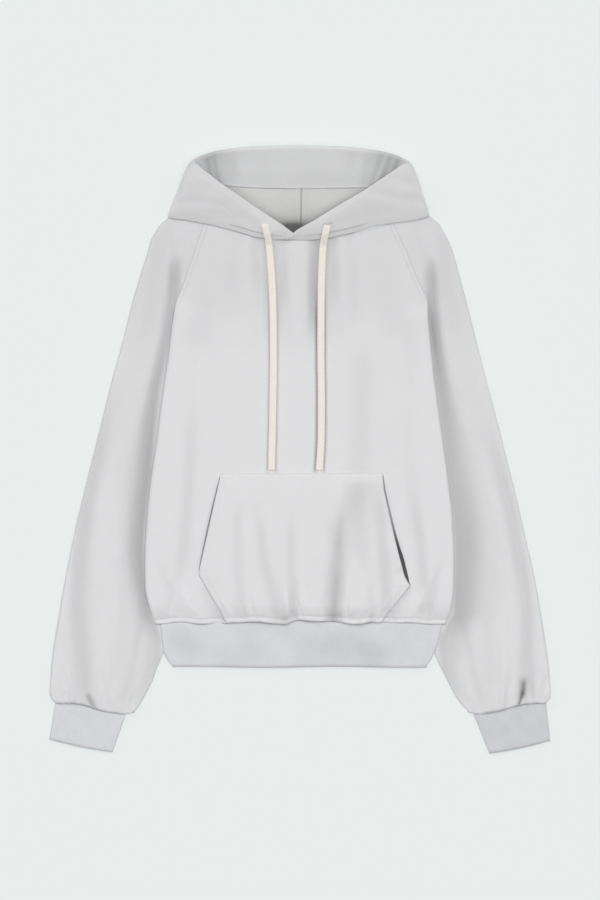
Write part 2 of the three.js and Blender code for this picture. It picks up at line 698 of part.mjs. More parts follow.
const centreSeamX = 1.5;
function insidePoint(from, to) {
  return (share, down) => {
    const at = lerp(from, to, share);
    const [foldX, foldY, foldZ] = facingTracks.slice(3).map((read) => read(at));
    const lowX = foldX * 0.5;
    const neckEdge = bodyY(neckY, lowX) + 1;
    const x = lerp(foldX, lowX, down);
    const y = lerp(foldY - 1, neckEdge, down);
    return new THREE.Vector3(x, y, 2.7 + (foldZ - 2.7) * (1 - down) ** 1.5);
  };
}
function insideHalf(side) {
  const middle = 0.5 + side * 0.0008;
  const outer = side < 0 ? insidePoint(0.04, middle) : insidePoint(middle, 0.96);
  return clothWall({
    outer,
    inner: straightDown(outer, fleece * 1.1),
    columns: steps(0, 1, 6),
    rows: steps(0, 1, 6),
  });
}

// The rest of the hood has collapsed under its inside: one rounded heap of layers.
const heap = { x: centreSeamX, y: 394, halfWidth: 112, halfDepth: 44, layers: 3 };
function heapTop(y) {
  return 3.2 + Math.max(0, y - 348) * 0.22;
}
function hoodFolded() {
  const around = 28;
  const rings = [{ share: 0.9, level: 0 }];
  for (let layer = 0; layer < heap.layers; layer += 1) {
    rings.push({ share: 1 - 0.04 * layer, level: (layer + 0.5) / heap.layers });
    rings.push({ share: 0.94 - 0.04 * layer, level: (layer + 1) / heap.layers });
  }
  rings.push({ share: 0.5, level: 1 });
  const ringPoint = (share, level, angle) => {
    const x = heap.x + heap.halfWidth * share * Math.cos(angle);
    const y = heap.y + heap.halfDepth * share * Math.sin(angle);
    return [x, y, level * heapTop(y)];
  };
  const points = [heap.x, heap.y, 0];
  for (const { share, level } of rings) {
    for (let k = 0; k < around; k += 1) {
      points.push(...ringPoint(share, level, (2 * Math.PI * k) / around));
    }
  }
  points.push(heap.x, heap.y, heapTop(heap.y));
  const top = 1 + rings.length * around;
  const triangles = [];
  for (let k = 0; k < around; k += 1) {
    const next = (k + 1) % around;
    triangles.push(0, 1 + next, 1 + k);
    for (let ring = 0; ring + 1 < rings.length; ring += 1) {
      const low = 1 + ring * around;
      const high = low + around;
      triangles.push(low + k, low + next, high + next, low + k, high + next, high + k);
    }
    const highest = 1 + (rings.length - 1) * around;
    triangles.push(highest + k, highest + next, top);
  }
  return solid(points, triangles);
}

// A flat woven cord, along its route.
function cord(route) {
  const [halfWidth, halfThickness] = [cordWidth / 2, cordThickness / 2];
  const corner = 1.1;
  const section = new THREE.Shape();
  section.moveTo(halfThickness, halfWidth - corner * 1.6);
  section.lineTo(halfThickness - corner, halfWidth);
  section.lineTo(corner - halfThickness, halfWidth);
  section.lineTo(-halfThickness, halfWidth - corner * 1.6);
  section.lineTo(-halfThickness, corner * 1.6 - halfWidth);
  section.lineTo(corner - halfThickness, -halfWidth);
  section.lineTo(halfThickness - corner, -halfWidth);
  section.lineTo(halfThickness, corner * 1.6 - halfWidth);
  section.closePath();
  const path = new THREE.CatmullRomCurve3(route.map((point) => new THREE.Vector3(...point)));
  return new THREE.ExtrudeGeometry(section, { steps: 28, bevelEnabled: false, extrudePath: path });
}

const hoodie = new THREE.Group();
function sew(name, geometry, finish) {
  const mesh = new THREE.Mesh(geometry, finish);
  mesh.name = name;
  hoodie.add(mesh);
}

sew("body_front", bodyFront, finishes.fleece);
sew("body_back", bodyBack, finishes.fleece);
sew("pocket", pocket, finishes.fleece);
sew("sleeve_left", sleeve(-1), finishes.fleece);
sew("sleeve_right", sleeve(1), finishes.fleece);
sew("hem_rib", hemRib, finishes.rib);
sew("cuff_left", cuff(cuffs[0]), finishes.rib);
sew("cuff_right", cuff(cuffs[1]), finishes.rib);
sew("hood_left", hoodHalf(hoodLeftStations), finishes.fleece);
sew("hood_right", hoodHalf(hoodRightStations), finishes.fleece);
sew("hood_facing", hoodFacing, finishes.lining);
sew("hood_inside_left", insideHalf(-1), finishes.lining);
sew("hood_inside_right", insideHalf(1), finishes.lining);
sew("hood_folded", hoodFolded(), finishes.lining);
sew("drawcord_left", cord(cordRoutes.left), finishes.cord);
sew("drawcord_right", cord(cordRoutes.right), finishes.cord);

export default hoodie;
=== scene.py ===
import math

import bmesh
import bpy
import numpy as np
from mathutils import Matrix, Vector


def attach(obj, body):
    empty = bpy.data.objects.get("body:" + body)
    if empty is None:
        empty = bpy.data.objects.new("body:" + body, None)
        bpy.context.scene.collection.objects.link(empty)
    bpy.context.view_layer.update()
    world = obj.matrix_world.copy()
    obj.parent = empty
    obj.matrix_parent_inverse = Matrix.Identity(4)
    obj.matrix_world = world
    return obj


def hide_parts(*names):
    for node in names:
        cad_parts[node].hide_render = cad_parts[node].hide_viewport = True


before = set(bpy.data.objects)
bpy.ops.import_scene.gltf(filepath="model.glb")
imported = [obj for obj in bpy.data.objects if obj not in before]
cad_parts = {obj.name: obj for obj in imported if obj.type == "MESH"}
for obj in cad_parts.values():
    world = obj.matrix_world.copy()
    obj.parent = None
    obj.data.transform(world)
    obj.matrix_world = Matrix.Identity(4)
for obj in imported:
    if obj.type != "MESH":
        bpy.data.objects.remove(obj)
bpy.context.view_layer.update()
print("frame loaded")

# A pullover hoodie laid flat on its back. Shapes are worked out in millimetres: +X is to the
# viewer's right, +Y runs from the hem to the hood, +Z comes up from the floor.
mm = 0.001

photo = {
    "height": 900,
    "mmPerPixel": 1.5,
    "lens": 600,  # long, so that the raised hood isn't drawn larger than the hem
    "sensor": 36,
    "clipEnd": 60,
}


def makeCamera():
    lens = bpy.data.cameras.new("camera")
    lens.lens = photo["lens"]
    lens.sensor_width = photo["sensor"]
    lens.clip_end = photo["clipEnd"]
    camera = bpy.data.objects.new("camera", lens)
    tall = photo["height"] * photo["mmPerPixel"] * mm
    camera.location = (0, 0, tall * photo["lens"] / photo["sensor"])
    bpy.context.scene.collection.objects.link(camera)
    bpy.context.scene.camera = camera


makeCamera()


# Curves, ramps and folds

def mix(a, b, t):
    return a + (b - a) * t


def smooth(t):
    t = np.clip(t, 0, 1)
    return t * t * (3 - 2 * t)


def bell(distance, width):
    return np.exp(-((distance / width) ** 2))


# A smooth curve through the given values that never swings past them.
def track(at, values):
    order = np.argsort(at)
    place = np.array(at, float)[order]
    value = np.array(values, float)[order]
    slope = np.diff(value) / np.diff(place)
    tangent = np.concatenate([slope[:1], slope[1:] * 0, slope[-1:]])
    product = slope[:-1] * slope[1:]
    total = slope[:-1] + slope[1:]
    turning = product > 0
    tangent[1:-1][turning] = 2 * product[turning] / total[turning]

    def read(where):
        where = np.clip(where, place[0], place[-1])
        k = np.clip(np.searchsorted(place, where, side="right") - 1, 0, len(place) - 2)
        span = place[k + 1] - place[k]
        t = (where - place[k]) / span
        ease = t * t * (3 - 2 * t)
        leave = t * (1 - t) ** 2 * span * tangent[k]
        arrive = t * t * (t - 1) * span * tangent[k + 1]
        return mix(value[k], value[k + 1], ease) + leave + arrive

    return read


def sideTrack(table):
    left = track(table["y"], table["left"])
    right = track(table["y"], table["right"])
    return lambda side, y: np.where(np.asarray(side) < 0, left(y), right(y))


def sideOf(x):
    return np.where(np.asarray(x) < 0, -1.0, 1.0)


def sideName(side):
    return "left" if side < 0 else "right"


# How far each point of a line lies from its start, along the line.
def distanceAlong(points):
    legs = np.linalg.norm(np.diff(points, axis=0), axis=1)
    return np.concatenate([[0], np.cumsum(legs)])


farAway = 1e9
foldSpread = 0.35  # how much wider a fold is where it fades
waves = 8  # that an unevenness is made of


# Each fold is a soft ridge or trough along a line of points: the line, half width, height and fade.
def foldHeight(folds, x, y):
    total = np.zeros_like(x)
    for line, width, height, fade in folds:
        near = np.full_like(x, farAway)
        beyond = np.zeros_like(x)
        last = len(line) - 2
        for k, (start, end) in enumerate(zip(line, line[1:])):
            alongX, alongY = end[0] - start[0], end[1] - start[1]
            length = math.hypot(alongX, alongY)
            reach = ((x - start[0]) * alongX + (y - start[1]) * alongY) / length
            held = np.clip(reach, -farAway if k == 0 else 0, farAway if k == last else length)
            awayX = x - start[0] - alongX * held / length
            awayY = y - start[1] - alongY * held / length
            away = np.hypot(awayX, awayY)
            closer = away < near
            before = -reach if k == 0 else 0 * reach
            after = reach - length if k == last else 0 * reach
            near = np.where(closer, away, near)
            beyond = np.where(closer, np.maximum(np.maximum(before, after), 0), beyond)
        total += height * bell(near, width * (1 + foldSpread * beyond / fade)) * bell(beyond, fade)
    return total


# An even, aimless unevenness between about -1 and 1.
def wander(x, y, size, seed):
    random = np.random.default_rng(seed)
    total = np.zeros_like(x)
    for _ in range(waves):
        angle, phase = random.uniform(0, 2 * math.pi, 2)
        wave = size * random.uniform(0.7, 1.9)
        across = x * math.cos(angle) + y * math.sin(angle)
        total += np.sin(across * 2 * math.pi / wave + phase)
    return total * 2 / waves


# Mesh helpers

weldDistance = 2e-6  # for the points of one sheet that meet


def newMesh(name, bm):
    mesh = bpy.data.meshes.new(name)
    bm.to_mesh(mesh)
    bm.free()
    thing = bpy.data.objects.new(name, mesh)
    bpy.context.scene.collection.objects.link(thing)
    return thing


def readPlaces(mesh):
    flat = np.empty(len(mesh.vertices) * 3)
    mesh.vertices.foreach_get("co", flat)
    return flat.reshape(-1, 3)


def smoothFaces(bm):
    for face in bm.faces:
        face.smooth = True


def clothUv(mesh, u, v, size):
    corners = np.empty(len(mesh.loops), dtype=np.int32)
    mesh.loops.foreach_get("vertex_index", corners)
    layer = mesh.uv_layers.new(name="cloth")
    flat = np.stack([u[corners] * size[0] * mm, v[corners] * size[1] * mm], axis=1)
    layer.data.foreach_set("uv", flat.ravel())


# A sheet starts as a flat grid and is then laid over the shape that `place` gives.
def sheetGrid(name, columns, rows, place, size, faceUp=1, joined=False, capped=False):
    bm = bmesh.new()
    bmesh.ops.create_grid(bm, x_segments=columns, y_segments=rows, size=0.5)
    thing = newMesh(name, bm)
    mesh = thing.data
    grid = readPlaces(mesh)
    u, v = grid[:, 0] + 0.5, grid[:, 1] + 0.5
    clothUv(mesh, u, v, size)
    x, y, z, *paintedShade = place(u, v)
    laid = np.stack([x, y, z], axis=1) * mm
    mesh.vertices.foreach_set("co", laid.ravel())
    # Painted shade: the "crease" attribute says how much darker each point of the cloth is drawn, from
    # the fourth value that `place` gives
    crease = mesh.attributes.new(name="crease", type="FLOAT", domain="POINT")
    if paintedShade:
        crease.data.foreach_set("value", np.clip(paintedShade[0], 0, 1))
    mesh.update()
    bm = bmesh.new()
    bm.from_mesh(mesh)
    if joined:
        bmesh.ops.remove_doubles(bm, verts=bm.verts, dist=weldDistance)
    if capped:
        edges = [edge for edge in bm.edges if edge.is_boundary]
        bmesh.ops.holes_fill(bm, edges=edges, sides=0)
        bmesh.ops.recalc_face_normals(bm, faces=bm.faces)
    else:
        facing = sum(face.normal.z * face.calc_area() for face in bm.faces)
        if facing * faceUp < 0:
            bmesh.ops.reverse_faces(bm, faces=bm.faces)
    smoothFaces(bm)
    bm.to_mesh(mesh)
    bm.free()
    return thing


nearMiddle = 20


# Turns a rolled sheet so that its highest face near x, y looks up.
def outward(thing, x, y):
    target = Vector((x, y)) * mm
    bm = bmesh.new()
    bm.from_mesh(thing.data)
    centres = {face: face.calc_center_median() for face in bm.faces}
    near = [face for face in centres if (centres[face].xy - target).length < nearMiddle * mm]
    highest = max(near, key=lambda face: centres[face].z)
    if highest.normal.z < 0:
        bmesh.ops.reverse_faces(bm, faces=bm.faces)
    bm.to_mesh(thing.data)
    bm.free()


def thicken(thing, thickness):
    wall = thing.modifiers.new("wall", "SOLIDIFY")
    wall.thickness = thickness * mm
    wall.offset = -1
    wall.use_even_offset = False
    wall.use_rim = True


def dress(thing, material):
    thing.data.materials.clear()
    thing.data.materials.append(material)
    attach(thing, "root")


# Cloth finishes

fleeceStitches = {"Across": 820, "Along": 640, "Nap": 0.55}  # stitches a metre, and how deep the nap is
ribStitches = {"Across": 700, "Along": 560, "Nap": 0.4}
liningStitches = {"Across": 700, "Along": 560, "Nap": 1.0}
finish = {
    "fleece": {
        "light": (0.752, 0.749, 0.758), "shade": (0.705, 0.703, 0.714),
        "values": fleeceStitches, "relief": 0.16,
    },
    "ribKnit": {
        "light": (0.705, 0.708, 0.729), "shade": (0.640, 0.644, 0.667),
        "values": ribStitches, "relief": 0.2,
    },
    "lining": {
        "light": (0.775, 0.773, 0.764), "shade": (0.720, 0.718, 0.706),
        "values": liningStitches, "relief": 0.22, "dark": 0.15,
    },
    "facing": {
        "light": (0.776, 0.777, 0.784), "shade": (0.718, 0.719, 0.727),
        "values": liningStitches, "relief": 0.22, "dark": 0.15,
    },
    # painted shadow: the dark grey of the shade inside the hand openings
    "pocketShadowPaint": {
        "light": (0.30, 0.30, 0.31), "shade": (0.30, 0.30, 0.31),
        "values": fleeceStitches, "relief": 0.1,
    },
    "cordTape": {
        "light": (0.880, 0.825, 0.760), "shade": (0.770, 0.700, 0.615), "tones": (0.05, 0.7),
        "values": {"Yarns": 900}, "relief": 0.3, "roughness": 0.8, "sheen": 0.1,
    },
    "thread": {
        "light": (0.640, 0.645, 0.655), "shade": (0.640, 0.645, 0.655), "tones": (0.1, 0.8),
        "values": {"Yarns": 1500}, "relief": 0.1, "roughness": 0.6, "sheen": 0.1,
    },
}


# A surface group takes flat cloth coordinates and gives a height and a tone.
def startGroup(name, settings):
    group = bpy.data.node_groups.new(name, "ShaderNodeTree")
    group.interface.new_socket(name="Vector", in_out="INPUT", socket_type="NodeSocketVector")
    for key in settings:
        group.interface.new_socket(name=key, in_out="INPUT", socket_type="NodeSocketFloat")
    for key in ("Height", "Tone"):
        group.interface.new_socket(name=key, in_out="OUTPUT", socket_type="NodeSocketFloat")
    entry = group.nodes.new("NodeGroupInput")
    leave = group.nodes.new("NodeGroupOutput")
    split = group.nodes.new("ShaderNodeSeparateXYZ")
    group.links.new(entry.outputs["Vector"], split.inputs[0])
    return group, entry.outputs, leave.inputs, split.outputs


def mathNode(tree, operation, first, second=None):
    node = tree.nodes.new("ShaderNodeMath")
    node.operation = operation
    for socket, value in zip(node.inputs, (first, second)):
        if isinstance(value, (int, float)):
            socket.default_value = value
        elif value is not None:
            tree.links.new(value, socket)
    return node.outputs[0]


def noiseNode(tree, vector, scale, detail, roughness=0.55):
    node = tree.nodes.new("ShaderNodeTexNoise")
    tree.links.new(vector, node.inputs["Vector"])
    for name, value in (("Scale", scale), ("Detail", detail), ("Roughness", roughness)):
        if isinstance(value, (int, float)):
            node.inputs[name].default_value = value
        else:
            tree.links.new(value, node.inputs[name])
    return node.outputs["Fac"]


# Knit: columns of V-shaped stitches under a brushed nap, with a broad unevenness in the dye; the
# stitches' legs also lighten the tone, which paints shade between them.
def makeKnitGroup():
    group, given, result, place = startGroup("knitSurface", ("Across", "Along", "Nap"))
    across = mathNode(group, "MULTIPLY", place[0], given["Across"])
    along = mathNode(group, "MULTIPLY", place[1], given["Along"])
    column = mathNode(group, "PINGPONG", across, 0.5)
    slanted = mathNode(group, "ADD", along, column)
    loop = mathNode(group, "PINGPONG", slanted, 0.5)
    legs = mathNode(group, "MULTIPLY", column, loop)
    nap = noiseNode(group, given["Vector"], 2600, 3, 0.6)
    fuzz = mathNode(group, "MULTIPLY", nap, given["Nap"])
    stitch = mathNode(group, "MULTIPLY", legs, 2.4)
    height = mathNode(group, "ADD", stitch, fuzz)
    group.links.new(height, result["Height"])
    broad = noiseNode(group, given["Vector"], 26, 4)
    fleck = noiseNode(group, given["Vector"], 900, 2)
    mixed = mathNode(group, "MULTIPLY", broad, 0.45)
    flecked = mathNode(group, "MULTIPLY", fleck, 0.35)
    # painted shade: the tone is lighter on the stitches' legs and darker between them
    inner = mathNode(group, "MULTIPLY", legs, 0.8)
    tone = mathNode(group, "ADD", mathNode(group, "ADD", mixed, flecked), inner)
    group.links.new(tone, result["Tone"])
    return group


# Woven tape: crossing yarns in a close herringbone, with the tone darker where the yarns lie low, which
# is painted shade.
def makeWeaveGroup():
    group, given, result, place = startGroup("wovenTape", ("Yarns",))
    across = mathNode(group, "MULTIPLY", place[0], given["Yarns"])
    along = mathNode(group, "MULTIPLY", place[1], given["Yarns"])
    rib = mathNode(group, "PINGPONG", across, 1)
    slanted = mathNode(group, "ADD", mathNode(group, "MULTIPLY", along, 0.8), rib)
    yarn = mathNode(group, "PINGPONG", slanted, 0.5)
    strands = noiseNode(group, given["Vector"], 3200, 2)
    height = mathNode(group, "ADD", yarn, mathNode(group, "MULTIPLY", strands, 0.25))
    group.links.new(height, result["Height"])
    broad = noiseNode(group, given["Vector"], 60, 3)
    # painted shade: the tone follows the yarns' height, darker where they lie low
    deep = mathNode(group, "MULTIPLY", yarn, 1.1)
    tone = mathNode(group, "ADD", deep, mathNode(group, "MULTIPLY", broad, 0.35))
    group.links.new(tone, result["Tone"])
    return group


knitGroup = makeKnitGroup()
weaveGroup = makeWeaveGroup()


# `relief` is in millimetres, and `dark` is how much of the shade colour is left where the painted shade
# is deepest, deep in a crease.
def clothMaterial(
    name, light, shade, values, relief, tones=(0.25, 0.75), roughness=0.95, sheen=0.4, dark=0.28,
):
    material = bpy.data.materials.new(name)
    material.use_nodes = True
    tree = material.node_tree
    shader = tree.nodes["Principled BSDF"]
    shader.inputs["Roughness"].default_value = roughness
    shader.inputs["Sheen Weight"].default_value = sheen
    shader.inputs["Sheen Roughness"].default_value = 0.6
    shader.inputs["Specular IOR Level"].default_value = 0.12
    coordinates = tree.nodes.new("ShaderNodeUVMap")
    coordinates.uv_map = "cloth"
    cloth = tree.nodes.new("ShaderNodeGroup")
    cloth.node_tree = weaveGroup if "Yarns" in values else knitGroup
    tree.links.new(coordinates.outputs[0], cloth.inputs["Vector"])
    for key, value in values.items():
        cloth.inputs[key].default_value = value
    ramp = tree.nodes.new("ShaderNodeValToRGB")
    ramp.color_ramp.elements[0].position, ramp.color_ramp.elements[1].position = tones
    ramp.color_ramp.elements[0].color = (*shade, 1)
    ramp.color_ramp.elements[1].color = (*light, 1)
    tree.links.new(cloth.outputs["Tone"], ramp.inputs[0])
    # painted shade: cloth that lies deep in a fold or an opening is drawn a little darker, by the
    # "crease" attribute
    crease = tree.nodes.new("ShaderNodeAttribute")
    crease.attribute_name = "crease"
    paintedShadeMix = tree.nodes.new("ShaderNodeMix")
    paintedShadeMix.data_type = "RGBA"
    paintedShadeMix.inputs["B"].default_value = (*[channel * dark for channel in shade], 1)
    tree.links.new(crease.outputs["Fac"], paintedShadeMix.inputs["Factor"])
    tree.links.new(ramp.outputs[0], paintedShadeMix.inputs["A"])
    tree.links.new(paintedShadeMix.outputs["Result"], shader.inputs["Base Color"])
    bump = tree.nodes.new("ShaderNodeBump")
    bump.inputs["Strength"].default_value = 0.6
    bump.inputs["Distance"].default_value = relief * mm
    tree.links.new(cloth.outputs["Height"], bump.inputs["Height"])
    tree.links.new(bump.outputs[0], shader.inputs["Normal"])
    return material


materials = {name: clothMaterial(name, **look) for name, look in finish.items()}
print("finishes made")


# Drawcords

cordShape = {
    "width": 11,
    "thickness": 3,
    "around": 20,
    "along": 300,
    "hem": 9,  # the turned end
    "sink": 5.5,  # how far the first few millimetres go down into the buttonhole
    "sinkOver": 6.5,
    "step": 0.5,  # over which its direction is measured
    "left": [
        (-54.4, 342, 23.5), (-51.8, 333.4, 22.2), (-49.3, 324, 20),
        (-47.6, 315.5, 15.8), (-46.4, 306, 11.5), (-44.9, 292, 10.6),
        (-43, 267, 10.6), (-41.1, 232.5, 10.6), (-40, 187.5, 10.6),
        (-39.8, 142.5, 10.6), (-40.2, 97.5, 10.6), (-40.7, 60, 10.6),
        (-41.5, 22.5, 10.6), (-42.2, -7.5, 10.6), (-42.5, -31, 10.6),
    ],
    "right": [
        (41.8, 340.6, 25.8), (39.6, 331.6, 23.9), (37.6, 322.4, 20.8),
        (36, 314, 15.8), (34.6, 304, 11.4), (33.4, 287, 10.6),
        (32.3, 255, 10.6), (31.5, 214.5, 10.6), (31.4, 172.5, 10.6),
        (31.5, 127.5, 10.6), (32.1, 82.5, 10.6), (32.1, 45, 10.6),
        (31.7, 15, 10.6), (30.3, -12, 10.6), (29.1, -31, 10.6),
    ],
}


def routeLength(route):
    return sum(math.dist(a, b) for a, b in zip(route, route[1:]))


def alongRoute(route, samples):
    points = np.array(route, float)
    at = distanceAlong(points)
    reads = [track(at, points[:, axis]) for axis in range(3)]
    where = samples * at[-1]
    step = cordShape["step"]
    line = np.stack([read(where) for read in reads], axis=1)
    ahead = np.stack([read(where + step) for read in reads], axis=1)
    behind = np.stack([read(where - step) for read in reads], axis=1)
    forward = ahead - behind
    forward /= np.linalg.norm(forward, axis=1, keepdims=True)
    return line, forward, where


# A flat tape with raised edges, laid along its route from the buttonhole to its turned end.
def makeCord(side):
    route = cordShape[sideName(side)]
    length = routeLength(route)
    halfWidth, halfThickness = cordShape["width"] / 2, cordShape["thickness"] / 2

    def place(u, v):
        line, forward, where = alongRoute(route, 1 - v)
        sideways = np.cross(forward, (0.0, 0.0, 1.0))
        sideways /= np.linalg.norm(sideways, axis=1, keepdims=True)
        upward = np.cross(sideways, forward)
        angle = 2 * math.pi * u
        across = np.sign(np.cos(angle)) * np.abs(np.cos(angle)) ** 0.62
        over = np.sign(np.sin(angle)) * np.abs(np.sin(angle)) ** 0.8
        fromEnd = length - where
        hemStep = smooth((cordShape["hem"] - fromEnd) / 1.2)
        fluff = 1 + 0.04 * np.sin(where * 0.9) + 0.05 * hemStep
        taper = 1 - 0.35 * smooth((1.4 - np.minimum(fromEnd, 1.4)) / 1.4)
        selvage = 1 + 0.16 * bell(np.abs(across) - 0.86, 0.1)
        yarns = 1 + 0.05 * np.cos(where * 2 * math.pi / 2.2 + np.abs(across) * 6)
        wide = across * halfWidth * fluff * taper
        tall = over * halfThickness * selvage * yarns * (1 + 0.35 * hemStep) * taper
        sink = cordShape["sink"] * smooth((cordShape["sinkOver"] - where) / cordShape["sinkOver"])
        line = line - np.outer(sink, (0.0, 0.0, 1.0))
        lean = 0.18 * np.sin(where / 63 + (0 if side < 0 else 2)) * smooth((where - 40) / 80)
        tall = tall + wide * np.sin(lean) * 0.3
        spot = line + sideways * (wide * np.cos(lean))[:, None] + upward * tall[:, None]
        return spot.T

    name = "drawcord_left" if side < 0 else "drawcord_right"
    piece = sheetGrid(
        name + "_tape", cordShape["around"], cordShape["along"], place,
        (2 * cordShape["width"], length), joined=True, capped=True,
    )
    dress(piece, materials["cordTape"])
    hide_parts(name)
    path = [tuple(value * mm for value in point) for point in route]
    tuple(path[0])


for side in (-1, 1):
    makeCord(side)
print("drawcords made")


# Body: what the front, the back and everything laid on them share

body = {
    "wall": 2.4,
    "seam": 0.3,
    "flat": 8.6,  # top of the front over the back
    "sideLift": 7.2,
    "underarm": 225,
    "neck": 342,
    "hem": -262,
    "neckDrop": 25,
    "hemRise": 3.4,
    "hemPuff": 3.4,
    "loft": 4.2,
    "edges": {
        "y": [356, 339, 315, 255, 225, 195, 135, 75, 15, -45, -105, -165, -205, -232, -248, -262],
        "left": [
            -139, -145, -153, -174, -184.5, -190.5, -198, -207, -214.5, -223.5, -229.5, -232.5,
            -232, -227, -222.5, -217,
        ],
        "right": [
            134, 141, 152.5, 178, 190.5, 192.5, 198, 205.5, 214, 222, 228.5, 231, 230.5, 228, 224,
            218,
        ],
    },
    "innerFolds": {
        "y": [
            207, 187, 157, 120, 75, 0, -75, -135, -165, -190, -208, -222, -236, -248, -258, -267,
            -276, -285, -300, -315, -330, -345, -360, -375, -394,
        ],
        "left": [
            -189.9, -193.4, -190.5, -187.5, -187.5, -190.5, -195, -201, -206, -212, -218, -222,
            -222, -217, -212, -205, -203, -202, -203.5, -209, -215.5, -220.5, -228, -236, -248.5,
        ],
        "right": [
            194, 196, 192.5, 190.5, 190.5, 192, 196.5, 203, 207, 212, 218, 222, 223, 219, 213, 208,
            205, 202.5, 201, 205.5, 213, 220.5, 228, 237, 253.5,
        ],
    },
    # Long soft folds: the points of each line, its half width, its height and how it fades.
    "folds": [
        ([(-66, 330), (-67, 300), (-62, 262)], 8, -2.6, 30),
        ([(-28, 318), (-26, 280), (-26, 240)], 8, -2.6, 36),
        ([(20, 318), (20, 260), (20, 205)], 7.5, -3.2, 36),
        ([(48, 318), (50, 270), (50, 240)], 9, -2.6, 34),
        ([(74, 316), (80, 270), (82, 220)], 11, -1.5, 30),
        ([(-92, 318), (-100, 280), (-104, 236)], 13, -1.3, 30),
        ([(-4, 300), (-4, 240), (-6, 150)], 13, 1.0, 50),
        ([(118, 300), (124, 250), (138, 190)], 20, -1.0, 40),
        ([(-126, 296), (-138, 235), (-146, 180)], 18, -1.0, 40),
        ([(93, 110), (92, 60), (88, -20)], 17, -2.2, 34),
        ([(-160, 10), (-163, -60), (-168, -150)], 12, -1.6, 40),
        ([(150, 120), (138, 40), (150, -30)], 24, -0.7, 46),
        ([(-210, 30), (-218, -60), (-222, -150)], 9, 1.2, 34),
        ([(172, -100), (178, -150), (186, -230)], 9, -2.0, 26),
        ([(200, -30), (208, -110), (214, -180)], 9, 1.4, 28),
        ([(-206, -186), (-194, -214), (-180, -244)], 8, -1.2, 12),
        ([(-140, -216), (-132, -234), (-126, -250)], 7, -2.6, 12),
        ([(-190, -196), (-172, -226), (-150, -250)], 6, 1.3, 12),
        ([(210, -180), (200, -208), (188, -242)], 8, -2.4, 12),
        ([(198, -188), (184, -220), (166, -250)], 6, 1.2, 12),
        ([(160, -214), (150, -232), (142, -250)], 7, -2.2, 12),
    ],
    "gathers": 34,
    "frontRoll": 5.5,
    "backRoll": 5,
    "rollShare": 0.1,  # share of the columns that goes round each side
    "cloth": (463, 625),  # flat size, which the knit is scaled by
    "columns": 300,
    "rows": 150,
    "backColumns": 110,
    "backRows": 120,
}
# The last fifth of the front's rows lies close above the hem.
frontRows = track([0, 0.8, 1], [body["neck"], body["hem"] + 32, body["hem"]])
bodyEdge = sideTrack(body["edges"])
lowerFold = sideTrack(body["innerFolds"])


def insideEdge(x, y):
    return np.abs(bodyEdge(sideOf(x), y) - x)


def aboveUnderarm(y):
    return smooth((y - body["underarm"] + 4) / 14)


# Where a sleeve begins: under the body's side below the underarm, and at the seam above it.
def innerFold(side, y):
    onSeam = bodyEdge(side, y) - side * mix(5.5, 0.3, smooth((y - 218) / 14))
    return mix(lowerFold(side, y), onSeam, smooth((y - 150) / 30))


# The body's sides ride up on the inner folds of the sleeves.
def bodyLift(x, y):
    side = sideOf(x)
    inside = (innerFold(side, y) - x) * side
    across = 1 - smooth((inside - 9) / 34)
    below = smooth((body["underarm"] - 4 - y) / 26)
    return body["sideLift"] * across * below * smooth((y - body["hem"]) / 38)


# The hem seam wanders where the fuller body is eased into the tighter rib.
def hemWave(x):
    return (
        1.5 * np.sin(x / 17.5 + 0.4) + 1.1 * np.sin(x / 9.3 + 2.0) + 0.8 * np.sin(x / 31 + 1.2)
        - 2.4 * bell(x + 22, 8) - 2.2 * bell(x - 118, 7) - 2.4 * bell(x + 112, 8) + 0.6 * bell(x - 2, 9)
    )


def hemLine(x):
    side = sideOf(x)
    aside = np.minimum(1, np.abs(x / bodyEdge(side, body["hem"])))
    return body["hem"] + body["hemRise"] * (1 - aside ** 4) + hemWave(x) * (1 - aside ** 8)


# A row of cloth is curved: it dips at the neck, and it rises and waves at the hem.
def bodyRow(row, x):
    edge = bodyEdge(sideOf(x), row)
    aside = np.minimum(1, np.abs(x / edge))
    neckShare = smooth((row - 150) / (body["neck"] - 150))
    hemShare = smooth((row + 180) / (body["hem"] + 180))
    waveShare = smooth((row + 222) / (body["hem"] + 222)) * (1 - aside ** 8)
    drop = -body["neckDrop"] * (1 - aside ** 1.9) * neckShare
    return row + drop + body["hemRise"] * (1 - aside ** 4) * hemShare + hemWave(x) * waveShare


# Small gathers that run up from the hem seam, each with its own place, length and lean.
def makeGathers(count, left, right, seed, lengths, widths, heights):
    random = np.random.default_rng(seed)
    gathers = []
    for k in range(count):
        x = mix(left, right, (k + random.uniform(0.1, 0.9)) / count)
        length = random.uniform(*lengths)
        lean = random.uniform(-0.3, 0.3) * length
        height = random.uniform(*heights) * random.choice([-1, -1, 1])
        line = [(x, 0), (x + lean * 0.4, length * 0.5), (x + lean, length)]
        gathers.append((line, random.uniform(*widths), height, length * 0.35))
    return gathers


hemGathers = makeGathers(body["gathers"], -212, 212, 7, (6, 34), (2.6, 6), (0.5, 1.7))


def frontBase(x, y):
    fromHem = y - (body["hem"] + body["hemRise"] * 0.7)
    puff = body["hemPuff"] * bell(fromHem - 22, 20)
    full = body["flat"] + bodyLift(x, y) + puff
    return full - (full - 10.8) * (1 - smooth((fromHem + 2) / 16))


def gatherHeight(x, y):
    fromHem = y - hemLine(x)
    return foldHeight(hemGathers, x, fromHem) * smooth((fromHem + 2) / 6)


# The hem is topstitched above the seam, and its allowance stands up as a narrow ridge.
def hemRidge(x, y):
    fromHem = y - hemLine(x)
    return 0.7 * bell(fromHem - 3.0, 1.8) - 1.1 * bell(fromHem - 7.4, 1.3) - 1.3 * bell(fromHem, 1.1)


